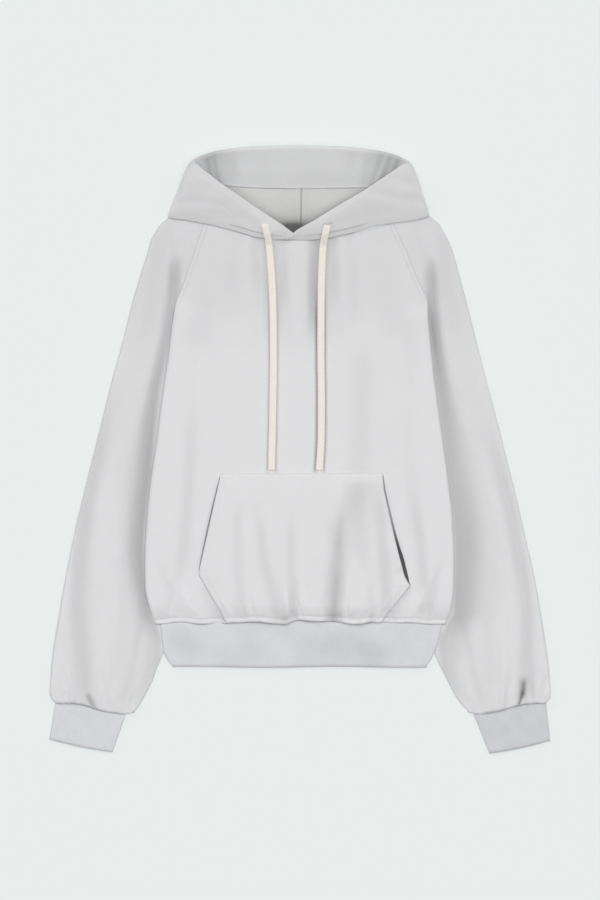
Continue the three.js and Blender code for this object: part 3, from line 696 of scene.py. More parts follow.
# The pocket's outline comes before the front, which lies lower under it.
pocket = {
    "top": -34.5,
    "loft": 4.6,
    "clearance": 1.1,
    "edges": {
        "y": [-34.5, -60, -105, -142.5, -165, -178, -189, -199.5, -203, -256.2, -262],
        "left": [-118.4, -124.1, -134.3, -142.7, -147.8, -150.7, -151.2, -145.3, -143.3, -113.4, -110],
        "right": [123.3, 125.9, 135.7, 144.6, 150.4, 153.8, 157, 162.4, 165.9, 126.3, 122],
    },
    "folds": [
        ([(61, -108), (58, -140)], 4.5, -1.6, 12),
        ([(57, -150), (54, -200), (51, -250)], 10.5, -4.2, 34),
        ([(53, -200), (51, -252)], 11, -2.6, 22),
        ([(122, -110), (126, -160), (132, -236)], 8, -2.6, 46),
        ([(-58, -135), (-52, -180), (-36, -245)], 7, -2.0, 40),
        ([(-32, -215), (-26, -248)], 8, -1.8, 18),
        ([(-94, -130), (-93, -190), (-90, -240)], 8, -1.6, 40),
        ([(-13, -140), (-12, -190), (-10, -248)], 6, -1.8, 34),
        ([(-9, -215), (-7, -250)], 6, -2.2, 16),
        ([(87, -44), (76, -80), (64, -112)], 14, -1.5, 22),
        ([(92, -64), (86, -105), (82, -150)], 18, -2.6, 30),
        ([(106, -215), (108, -242)], 6, -1.4, 14),
        ([(18, -170), (14, -240)], 9, 1.6, 40),
        ([(78, -150), (84, -230)], 12, 1.6, 44),
        ([(-36, -150), (-22, -225)], 8, 1.2, 30),
        ([(-76, -150), (-64, -235)], 8, 1.2, 34),
    ],
    "cloth": (290, 228),
    "columns": 174,
    "rows": 146,
}


def pocketEdge(side, y):
    edges = pocket["edges"]
    return np.interp(-np.asarray(y), -np.array(edges["y"]), edges[sideName(side)])


def underPocket(x, y):
    nearest = np.minimum(x - pocketEdge(-1, y), pocketEdge(1, y) - x)
    return smooth((nearest + 2) / 14) * smooth((pocket["top"] + 2 - y) / 14)


# The raglan seam is a groove, with its turned allowance and its topstitching beside it.
def raglanRidge(x, y):
    inside = insideEdge(x, y)
    ridge = 0.5 * bell(inside - 3.8, 2.4) - 0.5 * bell(inside - 7.6, 1.2) - 1.2 * bell(inside, 1.1)
    return ridge * aboveUnderarm(y)


# The front sinks a little beside the pocket's hand openings.
def openingDip(x, y):
    left = x - (pocketEdge(-1, y) - 1)
    right = x - (pocketEdge(1, y) + 2)
    along = smooth((-40 - y) / 20) * smooth((y + 200) / 22)
    return (-1.4 * bell(left, 3) - 1.8 * bell(right, 4)) * along


def cordLines(y):
    lines = [zip(*cordShape[side]) for side in ("left", "right")]
    return [track(ys, xs)(y) for xs, ys, _ in lines]


# The front sinks under the drawcords, and beside them towards the neck.
def cordRest(x, y):
    held = smooth((300 - y) / 20) * smooth((y + 33) / 6)
    beside = smooth((y - 110) / 120) * held
    total = np.zeros_like(x)
    for line in cordLines(y):
        total -= 0.4 * held * bell(x - line, 7.5)
        total -= 1.3 * beside * (bell(x - line - 9.5, 3.4) + bell(x - line + 9.5, 3.4))
    return total


# The front is loftier than its seams, but not where the drawcords lie on it.
def frontLoft(x, y):
    full = smooth(insideEdge(x, y) / 60) * smooth((y - body["hem"]) / 50) * smooth((318 - y) / 40)
    wide = mix(40, 15, smooth((y - 120) / 90))
    leftX, rightX = cordLines(y)
    clear = (1 - bell(x - leftX, wide)) * (1 - bell(x - rightX, wide))
    clear = mix(1, clear, smooth((y + 52) / 30))
    return body["loft"] * full * clear


# The cloth is a little darker towards the shoulders, where it turns away from the light.
def upperShade(y):
    return 0.095 * smooth((y - 110) / 180)


# Painted shade on the front: darker in its folds, beside the drawcords, in the gathers and along its
# seams, and towards the shoulders.
def frontPaintedShade(x, y):
    folds = np.clip(-foldHeight(body["folds"], x, y), 0, 5) * (1 - underPocket(x, y)) * 0.042
    beside = smooth((y - 120) / 140)
    left, right = (x - line for line in cordLines(y))
    # painted shadows along both sides of each drawcord, broad towards the neck and narrow where the
    # cord lies
    cords = 0.12 * beside * (bell(left + 9, 5) + bell(left - 9, 5) + 1.6 * bell(right + 11, 7))
    cords = cords + 0.07 * beside * bell(right - 11, 7)
    held = smooth((316 - y) / 10) * smooth((y + 36) / 6) * mix(1, 0.3, smooth((y - 190) / 70))
    cords = cords + held * (0.4 * bell(left + 6.6, 1.8) + 0.3 * bell(left - 6.6, 1.8))
    cords = cords + held * (0.7 * bell(right + 6.8, 2.4) + 0.5 * bell(right - 6.6, 2))
    fromHem = y - hemLine(x)
    puckers = bell(x + 22, 7) + 0.7 * bell(x - 118, 6) + 0.7 * bell(x + 112, 6) + 0.6 * bell(x - 42, 9)
    puckers = 0.35 * puckers * bell(fromHem - 6, 6)
    inside = insideEdge(x, y)
    seams = aboveUnderarm(y) * (0.28 * bell(inside, 1.0) + 0.12 * bell(inside - 7.6, 1.0))
    seams = seams + 0.12 * bell(fromHem - 7.4, 1.2)
    return folds + cords + puckers + upperShade(y) + seams


def frontHeight(x, y):
    covered = underPocket(x, y)
    folds = foldHeight(body["folds"], x, y) * (1 - covered) * 1.25 + frontLoft(x, y) - 2.2 * covered
    small = 0.35 * wander(x, y * 0.6, 62, 3) + 0.14 * wander(x, y, 24, 4)
    calm = smooth(insideEdge(x, y) / 16)
    detail = raglanRidge(x, y) + openingDip(x, y) + hemRidge(x, y) + cordRest(x, y)
    return frontBase(x, y) + folds + small * calm + detail + gatherHeight(x, y) * (1 - 0.6 * covered)


# Where a column lies across the body, and how far it has turned round the side.
def acrossBody(u, row, radius):
    turn = mix(0.12, math.pi / 2, smooth((body["underarm"] - row) / 30))
    left, right = bodyEdge(-1, row), bodyEdge(1, row)
    share = body["rollShare"]
    start = radius * np.sin(turn)
    arcLeft = turn * np.clip(1 - u / share, 0, 1)
    arcRight = turn * np.clip((u - 1 + share) / share, 0, 1)
    middle = mix(left + start, right - start, np.clip((u - share) / (1 - 2 * share), 0, 1))
    x = middle - radius * np.sin(arcLeft) + radius * np.sin(arcRight)
    return x, np.maximum(arcLeft, arcRight)


def frontPlace(u, v):
    row = frontRows(v)
    x, arc = acrossBody(u, row, body["frontRoll"])
    y = bodyRow(row, x)
    top = frontHeight(x, y)
    half = (frontBase(x, y) - bodyLift(x, y)) / 2 - body["seam"] * 1.5
    return x, y, top - half * (1 - np.cos(arc)), frontPaintedShade(x, y)


def backPlace(u, v):
    row = mix(body["neck"], body["hem"], v)
    x, arc = acrossBody(u, row, body["backRoll"])
    y = bodyRow(row, x)
    half = (frontBase(x, y) - bodyLift(x, y)) / 2 - body["seam"]
    return x, y, bodyLift(x, y) + half * (1 - np.cos(arc))


def makeBody():
    front = sheetGrid("body_front_panel", body["columns"], body["rows"], frontPlace, body["cloth"])
    thicken(front, body["wall"])
    dress(front, materials["fleece"])
    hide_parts("body_front")
    back = sheetGrid(
        "body_back_panel", body["backColumns"], body["backRows"], backPlace, body["cloth"], faceUp=-1
    )
    thicken(back, body["wall"])
    dress(back, materials["fleece"])
    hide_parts("body_back")


makeBody()
print("body laid")


# Kangaroo pocket

# The pocket's cloth stands off the front in its middle and is sewn down at its edges.
def pocketHeight(x, y, left, right):
    fromSides = np.minimum(x - left, right - x)
    fromTop = pocket["top"] - y
    full = smooth(fromSides / 45) * smooth((fromTop + 4) / 40) * smooth((y - body["hem"]) / 30)
    rightSlit = smooth((x - mix(left, right, 0.8)) / (0.2 * (right - left)))
    gape = 4.6 * rightSlit * bell(y + 160, 30)
    leftSlit = smooth((mix(left, right, 0.12) - x) / (0.12 * (right - left)))
    gape = gape + 2.4 * leftSlit * bell(y + 112, 44)
    folds = 1.35 * foldHeight(pocket["folds"], x, y) * smooth(fromSides / 26) * smooth(fromTop / 34)
    folds = np.where(folds < 0, 4.2 * np.tanh(folds / 4.2), folds)
    along = smooth((y + 184) / 10)
    hand = -0.7 * bell(fromSides - 3, 0.9) - 0.5 * bell(fromSides - 9, 0.9)
    hand = hand + 0.3 * bell(fromSides - 5.6, 3)
    sewn = -0.8 * bell(fromSides - 2.2, 1.0) - 0.6 * bell(fromSides - 8, 1.0)
    topRows = -0.7 * bell(fromTop - 2.4, 0.9) - 0.5 * bell(fromTop - 8.4, 0.9)
    sewnDown = 1 - smooth(np.minimum(fromTop / 16, fromSides / 16 + 1.2 * along))
    turned = -0.9 * bell(fromSides, 0.9) - 0.7 * bell(fromTop, 0.9) - 1.5 * sewnDown
    small = (0.4 * wander(x, y * 0.5, 48, 13) + 0.15 * wander(x, y, 20, 14)) * full
    return (
        pocket["clearance"] + body["wall"] + pocket["loft"] * full + gape + folds + small
        + hand * along + sewn * (1 - along) + topRows + turned
    )


def pocketSurface(x, y, left, right):
    above = pocketHeight(x, y, left, right)
    pull = hemRidge(x, y) + gatherHeight(x, y) * 1.1
    return frontBase(x, y) + frontLoft(x, y) + above + pull


def pocketPlace(u, v):
    row = mix(pocket["top"], body["hem"], v)
    left, right = pocketEdge(-1, row), pocketEdge(1, row)
    x = mix(left, right, u)
    y = bodyRow(row, x)
    # painted shade: darker in the pocket's folds, at the puckers above the hem and along its slanted
    # lower edges
    paintedShade = np.clip(-foldHeight(pocket["folds"], x, y), 0, 8) * 0.062
    paintedShade = paintedShade * smooth((pocket["top"] - y) / 30)
    puckers = bell(x + 22, 6) + 0.7 * bell(x - 106, 6) + 0.4 * bell(x - 50, 11)
    paintedShade = paintedShade + 0.3 * puckers * bell(y - hemLine(x) - 8, 6)
    slanted = 1 - smooth((y + 190) / 10)
    paintedShade = paintedShade + 0.4 * slanted * bell(np.minimum(x - left, right - x), 1.2)
    return x, y, pocketSurface(x, y, left, right), paintedShade


def makePocket():
    panel = sheetGrid("pocket_panel", pocket["columns"], pocket["rows"], pocketPlace, pocket["cloth"])
    thicken(panel, body["wall"])
    dress(panel, materials["fleece"])
    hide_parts("pocket")


# Painted shadow in each hand opening: a dark strip that reaches out past the pocket's edge, where the
# pocket's inside lies in shade.
opening = {
    "under": 6,
    "above": 0.8,
    "wall": 0.6,
    "cloth": (10, 165),
    "columns": 10,
    "rows": 140,
    "left": {
        "y": [-40, -60, -105, -142.5, -165, -181],
        "wide": [0.9, 1.9, 2.4, 2.2, 1.8, 0.3],
        "deepFrom": -400,
    },
    "right": {
        "y": [-38, -60, -105, -142.5, -165, -187.5, -202.5],
        "wide": [1.5, 2.4, 3.0, 4.3, 5.8, 5.2, 0.3],
        "deepFrom": -100,
    },
}


def openingPlace(side):
    shape = opening[sideName(side)]
    wide = track(shape["y"], shape["wide"])

    def place(u, v):
        row = mix(shape["y"][0], shape["y"][-1], v)
        edge = pocketEdge(side, row)
        y = bodyRow(row, edge)
        x = edge + side * mix(-opening["under"], wide(row), u)
        # painted shadow, darker below `deepFrom`
        deep = smooth((shape["deepFrom"] - row) / 50)
        return x, y, frontHeight(x, y) + opening["above"] * (1 - 0.6 * u ** 8), deep

    return place


def makeOpenings():
    for side, name in ((-1, "opening_shadow_left"), (1, "opening_shadow_right")):
        strip = sheetGrid(
            name, opening["columns"], opening["rows"], openingPlace(side), opening["cloth"]
        )
        thicken(strip, opening["wall"])
        dress(strip, materials["pocketShadowPaint"])


makePocket()
makeOpenings()
print("pocket laid")


# Sleeves

sleeve = {
    "outerFolds": {
        "y": [
            354, 339, 330, 315, 297, 270, 225, 165, 105, 45, -15, -75, -135, -195, -255, -315, -345,
            -362, -372, -380,
        ],
        "left": [
            -190, -208.5, -215, -223.5, -228.5, -237, -250.5, -265.5, -282, -297, -312, -327,
            -340.5, -352.5, -363, -372, -374.5, -375.5, -373.5, -366,
        ],
        "right": [
            190, 208.5, 214, 222, 229.5, 237, 249, 264, 279.5, 295.5, 310.5, 325.5, 339, 352.5, 363,
            372, 375, 376, 375, 368,
        ],
    },
    "loft": {
        "y": [354, 339, 300, 200, 0, -200, -320, -365, -394],
        "height": [7, 8.4, 10.4, 12.6, 15.4, 17.6, 18, 16, 12.2],
    },
    "valley": {
        "y": [312, 280, 245, 215],
        "left": [-187.5, -187.5, -186.5, -188],
        "right": [197, 196, 194.5, 194],
        "depth": [0, 2.6, 4.6, 2.5],
    },
    "end": {"at": [0, 0.16, 0.4, 0.53, 0.72, 1], "drop": [0, 4.4, 3.4, 0, -3, 0]},
    "endInner": -394,
    "endOuter": -380,
    "tuck": 5.6,
    "outerRadius": 2.9,
    "innerRadius": 3.2,
    "folds": {
        -1: [
            ([(-304, -10), (-319, -80), (-329, -150), (-332, -240), (-325, -330)], 13, -5.0, 90),
            ([(-296, -120), (-296, -240), (-292, -330)], 13, 1.8, 50),
            ([(-262, -220), (-266, -290), (-268, -350)], 14, -1.2, 40),
            ([(-352, -220), (-356, -280), (-356, -345)], 9, 1.8, 34),
            ([(-286, -290), (-288, -330), (-284, -368)], 7, 1.2, 20),
            ([(-238, -270), (-246, -310), (-254, -356)], 8, -1.8, 20),
            ([(-240, 150), (-252, 60), (-262, -40)], 20, -0.9, 60),
            ([(-212, 300), (-214, 256), (-226, 190)], 13, -1.4, 30),
            ([(-172, 318), (-168, 290), (-170, 262)], 6, 0.7, 18),
            ([(-194, 322), (-190, 290), (-188, 262)], 7, -0.8, 18),
        ],
        1: [
            ([(306, -60), (319, -110), (330, -170), (340, -240), (340, -330)], 9.5, -4.8, 90),
            ([(300, -130), (306, -240), (306, -340)], 12, 1.6, 46),
            ([(282, -250), (284, -300), (286, -350)], 14, -1.4, 40),
            ([(356, -220), (360, -290), (358, -350)], 8, 1.8, 34),
            ([(302, -290), (306, -330), (304, -376)], 7, 1.4, 20),
            ([(244, -270), (254, -310), (266, -360)], 8, -1.8, 20),
            ([(246, 140), (256, 50), (266, -50)], 20, -0.9, 60),
            ([(214, 300), (218, 256), (230, 190)], 13, -1.4, 30),
            ([(178, 322), (182, 290), (190, 262)], 6, -0.9, 18),
            ([(196, 318), (202, 286), (206, 262)], 6, 0.8, 18),
        ],
    },
    # The long shaded valley that the sleeve makes beside the body, from the underarm downwards: where
    # its painted shade runs, how dark and how wide it is on each side, and how far the cloth dips under
    # it.
    "paintedShade": {
        "y": [292, 270, 225, 180, 75, -30, -150, -240, -290, -330, -385],
        -1: {
            "x": [-184, -186, -189, -196, -217, -228, -239, -230, -212, -219, -244],
            "shade": [0, 0.27, 0.37, 0.37, 0.42, 0.52, 0.52, 0.46, 0.26, 0.2, 0],
            "wide": [8, 9.5, 9.5, 10, 14, 18, 17, 13, 16, 12, 10],
        },
        1: {
            "x": [196, 196.5, 195.5, 199.5, 211.5, 225.5, 238, 236, 212, 218, 245],
            "shade": [0, 0.24, 0.42, 0.62, 0.42, 0.37, 0.42, 0.42, 0.27, 0.24, 0],
            "wide": [8, 10, 10, 10, 19, 27, 38, 32, 28, 14, 10],
        },
        "bodySide": 7,
        "deep": 9,
    },
    "cloth": (330, 740),
    "columns": 156,
    "rows": 196,
    # Share of the columns at which the inner fold, the top, the outer fold and the back end.
    "zones": {"inner": 0.1, "outer": 0.62, "turn": 0.70, "back": 0.92},
    "floor": 3.2,  # the least height of the top, so that no fold dips under its own back
    "floorSoft": 0.8,
}
outerFold = sideTrack(sleeve["outerFolds"])
valleyX = sideTrack(sleeve["valley"])
loft = track(sleeve["loft"]["y"], sleeve["loft"]["height"])
valleyDepth = track(sleeve["valley"]["y"], sleeve["valley"]["depth"])
endDrop = track(sleeve["end"]["at"], sleeve["end"]["drop"])
sleeveGathers = {
    -1: makeGathers(14, -368, -252, 21, (8, 44), (2.8, 6), (0.7, 2.2)),
    1: makeGathers(14, 256, 370, 22, (8, 44), (2.8, 6), (0.7, 2.2)),
}
# The deepest tucks at the cuffs, drawn from the seam upwards.
cuffTucks = {
    -1: [([(-309, 1), (-313, 8), (-316, 14)], 3.2, -3.6, 6)],
    1: [([(327.5, 0), (333, 17)], 2.4, -4.8, 4), ([(334, 20), (335, 32)], 4.2, -5.0, 7)],
}


# How deep the shade is in the valley between a sleeve and the body.
def besideBody(side, x, y):
    table = sleeve["paintedShade"]
    lineX, shade, wide = (track(table["y"], table[side][key])(y) for key in ("x", "shade", "wide"))
    away = (x - lineX) * side
    return shade * np.where(away < 0, bell(away, table["bodySide"]), bell(away, wide))


def sleeveEnd(side, x):
    inner, outer = lowerFold(side, sleeve["endInner"]), outerFold(side, sleeve["endOuter"])
    t = np.clip((x - inner) / (outer - inner), 0, 1)
    return mix(sleeve["endInner"], sleeve["endOuter"], t), t


def sleeveHeight(side, x, y, detailed=True):
    outside = (x - bodyEdge(side, y)) * side
    depth = valleyDepth(y) * smooth((316 - y) / 10)
    dip = depth * bell(x - valleyX(side, y), 9)
    shoulder = mix(body["flat"], loft(y), smooth(outside / 34)) - dip
    arm = mix(sleeve["tuck"], loft(y), smooth((outside + 4) / mix(30, 52, smooth((120 - y) / 160))))
    height = mix(shoulder, arm, smooth((body["underarm"] - y) / 24))
    if not detailed:
        return height
    folds = foldHeight(sleeve["folds"][side], x, y)
    endY, t = sleeveEnd(side, x)
    fromEnd = y - endY + endDrop(t)
    nearEnd = smooth((fromEnd + 1) / 20)
    seamEdge = 0.2 * bell(outside - 4.5, 3) - 0.6 * bell(outside, 1.0)
    seamEdge = np.where(y > body["underarm"], seamEdge, 0)
    gathers = foldHeight(sleeveGathers[side] + cuffTucks[side], x, fromEnd) * smooth(fromEnd / 4 + 0.2)
    roll = -1.5 * bell(fromEnd, 1.8)
    small = 0.4 * wander(x * side, y * 0.6, 58, 31) + 0.16 * wander(x, y, 23, 32)
    shown = smooth(outside / 20)
    valley = sleeve["paintedShade"]["deep"] * np.minimum(besideBody(side, x, y), 0.4) * smooth(outside / 9)
    full = height + (folds * nearEnd + small) * shown + seamEdge + gathers + roll - valley
    low, soft = sleeve["floor"], sleeve["floorSoft"]
    return low + np.logaddexp(0, (full - low) / soft) * soft


# A sleeve is one sheet: over the top, round the outer fold, and back below to the inner one.
def sleevePlace(side):
    zones = sleeve["zones"]

    def place(u, v):
        row = mix(348, sleeve["endInner"], v)
        nearCuff = smooth((-300 - row) / 94)
        slant = (sleeve["endOuter"] - sleeve["endInner"]) * nearCuff + 4 * smooth((row - 330) / 20)
        rowOuter = row + slant
        start = innerFold(side, row)
        width = (outerFold(side, rowOuter) - start) * side
        turn = mix(0.06, math.pi / 2, smooth((body["underarm"] - row) / 22))
        foldStart = sleeve["innerRadius"] * np.sin(turn)
        edge = width - sleeve["outerRadius"]
        under = u > (zones["outer"] + zones["turn"]) / 2
        innerTop, innerBack = 1 - u / zones["inner"], (u - zones["back"]) / (1 - zones["back"])
        arcIn = np.maximum(turn * np.where(under, innerBack, innerTop), 0)
        arcOut = math.pi * np.clip((u - zones["outer"]) / (zones["turn"] - zones["outer"]), 0, 1)
        overTop = (u - zones["inner"]) / (zones["outer"] - zones["inner"])
        below = (zones["back"] - u) / (zones["back"] - zones["turn"])
        t = np.clip(np.where(under, below, overTop), 0, 1)
        distance = mix(foldStart, edge, t) - sleeve["innerRadius"] * np.sin(arcIn)
        distance = distance + sleeve["outerRadius"] * np.sin(arcOut)
        share = distance / width
        onTop = (1 + np.cos(arcOut)) / 2
        drop = endDrop(share) * nearCuff ** 2 * onTop
        x = start + side * distance
        y = mix(row, rowOuter, share) - drop
        top = sleeveHeight(side, x, y)
        plain = sleeveHeight(side, x, y, False)
        z = np.where(under, 0, top)
        turning = (u > zones["outer"]) & (u < zones["turn"])
        half = plain / 2
        rounded = half + half * np.cos(arcOut) + (top - plain) * onTop ** 2
        z = np.where(turning, rounded, z)
        rise = (plain / 2 - body["seam"] * 0.4) * (1 - np.cos(arcIn))
        z = z + np.where(arcIn > 0, np.where(under, rise, -rise), 0)
        # painted shade: darker beside the body, in the folds and the cuff's tucks, towards the
        # shoulder, and slightly all over
        creases = np.clip(-foldHeight(sleeve["folds"][side], x, y), 0, 6)
        tucks = np.clip(-foldHeight(cuffTucks[side], x, y - sleeveEnd(side, x)[0]), 0, 6)
        paintedShade = besideBody(side, x, y) + 0.04 * creases + 0.14 * tucks + upperShade(y) + 0.03
        return x, y, z, np.where(under, 0, paintedShade)

    return place


def makeSleeve(side):
    name = "sleeve_left" if side < 0 else "sleeve_right"
    panel = sheetGrid(
        name + "_panel", sleeve["columns"], sleeve["rows"], sleevePlace(side), sleeve["cloth"]
    )
    outward(panel, side * 300, -100)
    thicken(panel, body["wall"])
    dress(panel, materials["fleece"])
    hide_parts(name)


for side in (-1, 1):
    makeSleeve(side)
print("sleeves laid")


# Hem rib and cuffs: doubled rib knit, laid as flat rings

rib = {
    "wall": 2.6,
    "height": 8.6,
    "foldRadius": 2.4,
    "wale": 3.0,  # from one raised column of knit to the next
    "relief": 0.35,
    "end": -326,
    "seamLap": 2.6,  # how far the rib reaches up over the end of the cloth
    # Share of the columns at which the top, its right fold and the underside end.
    "ring": (0.62, 0.66, 0.96),
    "rows": 14,
    "hemColumns": 760,
    "hemCloth": (900, 62),
    "cuffColumns": 260,
    "cuffCloth": (240, 56),
    "edges": {
        "y": [-262, -285, -301, -316, -326],
        "left": [-210, -207.5, -205, -199, -190],
        "right": [214, 208.5, 203.5, 195.5, 189],
    },
    "cuffs": {
        -1: {"top": (-367, -259.5), "bottom": (-376, -281), "bottomY": (-434, -453.5)},
        1: {"top": (258.5, 369), "bottom": (284, 375.5), "bottomY": (-455.4, -436)},
    },
}
ribEdge = sideTrack(rib["edges"])


# Each column's share of the width, its turn round a fold, and its level from 0 below to 1 on top.
def ringPlace(u):
    overTop, rightFold, under = rib["ring"]
    forward = np.clip(u / overTop, 0, 1)
    backward = 1 - np.clip((u - rightFold) / (under - rightFold), 0, 1)
    share = np.where(u < rightFold, forward, backward)
    arcRight = math.pi * np.clip((u - overTop) / (rightFold - overTop), 0, 1)
    arcLeft = math.pi * np.clip((u - under) / (1 - under), 0, 1)
    turn = np.sin(arcRight) - np.sin(arcLeft)
    level = np.where(u < under, (1 + np.cos(arcRight)) / 2, (1 - np.cos(arcLeft)) / 2)
    return share, turn, level


# The rib's raised columns of knit.
def waleHeight(distance, row, level):
    ridge = np.abs(np.cos(distance * math.pi / rib["wale"])) ** 0.8
    return rib["relief"] * (ridge - 0.5) * level * smooth(row / 1.2 + 0.2)


# A rib dips under the cloth at its start and rolls over softly at its end.
def ribEnds(v, level, tuck, tuckOver, rollOver):
    tuckUnder = -tuck * (1 - smooth(v / tuckOver)) * level
    rolled = -0.7 * bell(v - 1, rollOver) * level + 1.2 * bell(v - 1, rollOver + 0.02) * (1 - level)
    return tuckUnder + rolled


def ribPlace(u, v):
    share, turn, level = ringPlace(u)
    levelY = mix(body["hem"], rib["end"], v)
    left, right = ribEdge(-1, levelY) + rib["foldRadius"], ribEdge(1, levelY) - rib["foldRadius"]
    x = mix(left, right, share) + turn * rib["foldRadius"]
    held = np.clip(x, bodyEdge(-1, body["hem"]), bodyEdge(1, body["hem"]))
    top = hemLine(held) + rib["seamLap"]
    ease = 1 - smooth(v / 0.9)
    y = mix(top, rib["end"] + 0.8 * np.sin(x / 34), v)
    wales = waleHeight(mix(-212, 212, share), v * 60, level)
    wave = (0.7 * wander(x, y * 0.3, 44, 41) + 0.5 * np.sin(x / 9.3 + 2.0) * ease) * level
    z = rib["height"] * level + wales + wave + ribEnds(v, level, 1.5, 0.07, 0.03)
    # painted shade: a mottled darkening over the rib's top, deeper around x = 74
    mottledShade = 0.055 + 0.05 * wander(x, y * 1.4, 60, 47) + 0.02 * wander(x, y, 18, 48)
    mottledShade = mottledShade + 0.11 * bell(x - 74, 44) * smooth(v * 1.6)
    return x, y, z, mottledShade * level


def cuffPlace(side):
    size = rib["cuffs"][side]

    def place(u, v):
        share, turn, level = ringPlace(u)
        start = mix(size["top"][0], size["bottom"][0], v)
        end = mix(size["top"][1], size["bottom"][1], v)
        margin = rib["foldRadius"] / (end - start)
        t = mix(margin, 1 - margin, share) + turn * margin
        x = mix(start, end, t)
        endY, at = sleeveEnd(side, mix(size["top"][0], size["top"][1], t))
        topY = endY - endDrop(at) * level + rib["seamLap"]
        endingY = mix(size["bottomY"][0], size["bottomY"][1], t) - 2 * np.sin(math.pi * t)
        y = mix(topY, endingY, v)
        wales = waleHeight(share * 112, v * 50, level)
        wave = 0.5 * wander(x, y * 0.4, 30, 43 + side) * level
        z = rib["height"] * level + wales + wave + ribEnds(v, level, 1.6, 0.09, 0.04)
        shade = (0.03 if side < 0 else 0.15) + 0.03 * wander(x, y * 1.3, 34, 49)
        return x, y, z, shade * level

    return place


def makeRibs():
    hem = sheetGrid(
        "hem_rib_knit", rib["hemColumns"], rib["rows"], ribPlace, rib["hemCloth"], joined=True
    )
    outward(hem, 0, -295)
    thicken(hem, rib["wall"])
    dress(hem, materials["ribKnit"])
    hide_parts("hem_rib")
    for side, name in ((-1, "cuff_left"), (1, "cuff_right")):
        cuff = sheetGrid(
            name + "_knit", rib["cuffColumns"], rib["rows"], cuffPlace(side), rib["cuffCloth"],
            joined=True,
        )
        outward(cuff, sum(rib["cuffs"][side]["bottom"]) / 2, -420)
        thicken(cuff, rib["wall"])
        dress(cuff, materials["ribKnit"])
        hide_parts(name)


makeRibs()
print("ribs laid")


# Hood

hood = {
    "wall": 4.8,  # two layers
    "columns": 240,
    "rows": 114,
    "cloth": (440, 150),
    "outerPart": 0.66,  # share of the rows on the outside, up to the rounded edge
    "lipPart": 0.74,  # and up to the end of that edge
    "flatPart": 0.84,  # share of the outside before it rolls down at its fold
    "foldRadius": 2.6,
    "foldStart": 0.22,
    "bulge": 2.4,
    "left": {
        "edgeX": [-1.5, -12.6, -24, -45, -72, -96, -117, -136.5, -149.3, -157.5, -129, -66, -0.2],
        "edgeY": [320, 327.4, 336, 350, 368, 384.6, 399, 414, 424.4, 432.2, 443.4, 451.4, 453],
        "edgeZ": [12.6, 16.6, 20, 24, 29, 34, 38.5, 41.5, 43, 43, 43.5, 44, 44],
        "sideZ": [11.6, 12.6, 12.6, 12.8, 13, 13.2, 13.8, 16, 28, 40, 41, 42, 42],
        "footX": [-11, -24.9, -40.5, -64.5, -96, -129, -168, -198, -183, -163, -130.5, -66, -0.2],
        "footY": [315, 315.2, 315.4, 318.6, 327.6, 336, 343.5, 349.5, 390, 433.5, 446, 453.8, 455.4],
        "footZ": [9, 9.4, 9.4, 9.4, 9.4, 9.4, 9.8, 10.4, 0, 0, 0, 0, 0],
    },
    "right": {
        "edgeX": [-18.8, -11.5, -4.5, 19.5, 60.8, 102, 124, 141, 153, 159.5, 127.5, 64.5, 0.2],
        "edgeY": [318, 324, 330, 343.5, 368.7, 393, 408, 419.6, 427.4, 431, 442.6, 450.8, 453],
        "edgeZ": [16.4, 18, 20, 24, 31, 37, 40.5, 42.5, 43.5, 43, 43.5, 44, 44],
        "sideZ": [13, 13, 13, 12.9, 13, 13.2, 13.8, 16, 28, 40, 41, 42, 42],
        "footX": [-23.3, -9, 6, 33, 75, 121.5, 170, 193.5, 184, 165, 130.5, 64.5, 0.2],
        "footY": [314.2, 314.2, 314.2, 316.2, 324.5, 337, 343.5, 352.5, 384, 431.5, 445, 453, 455.4],
        "footZ": [9.6, 9.6, 9.6, 9.4, 9.4, 9.4, 9.8, 10.4, 0, 0, 0, 0, 0],
    },
    "folds": {
        -1: [
            ([(-186, 370), (-150, 372), (-118, 366)], 8, -1.3, 20),
            ([(-176, 398), (-150, 404), (-134, 406)], 8, 1.0, 18),
            ([(-120, 352), (-92, 350), (-70, 342)], 9, -1.0, 22),
            ([(-150, 352), (-120, 376), (-104, 392)], 11, 0.8, 24),
            ([(-84, 362), (-64, 346), (-50, 334)], 8, 0.9, 18),
        ],
        1: [
            ([(186, 372), (150, 376), (122, 384)], 8, -1.2, 20),
            ([(172, 398), (152, 402), (140, 408)], 8, -1.2, 14),
            ([(60, 340), (92, 350), (124, 356)], 9, -0.9, 22),
            ([(48, 352), (66, 360), (88, 374)], 9, 0.9, 20),
        ],
    },
}


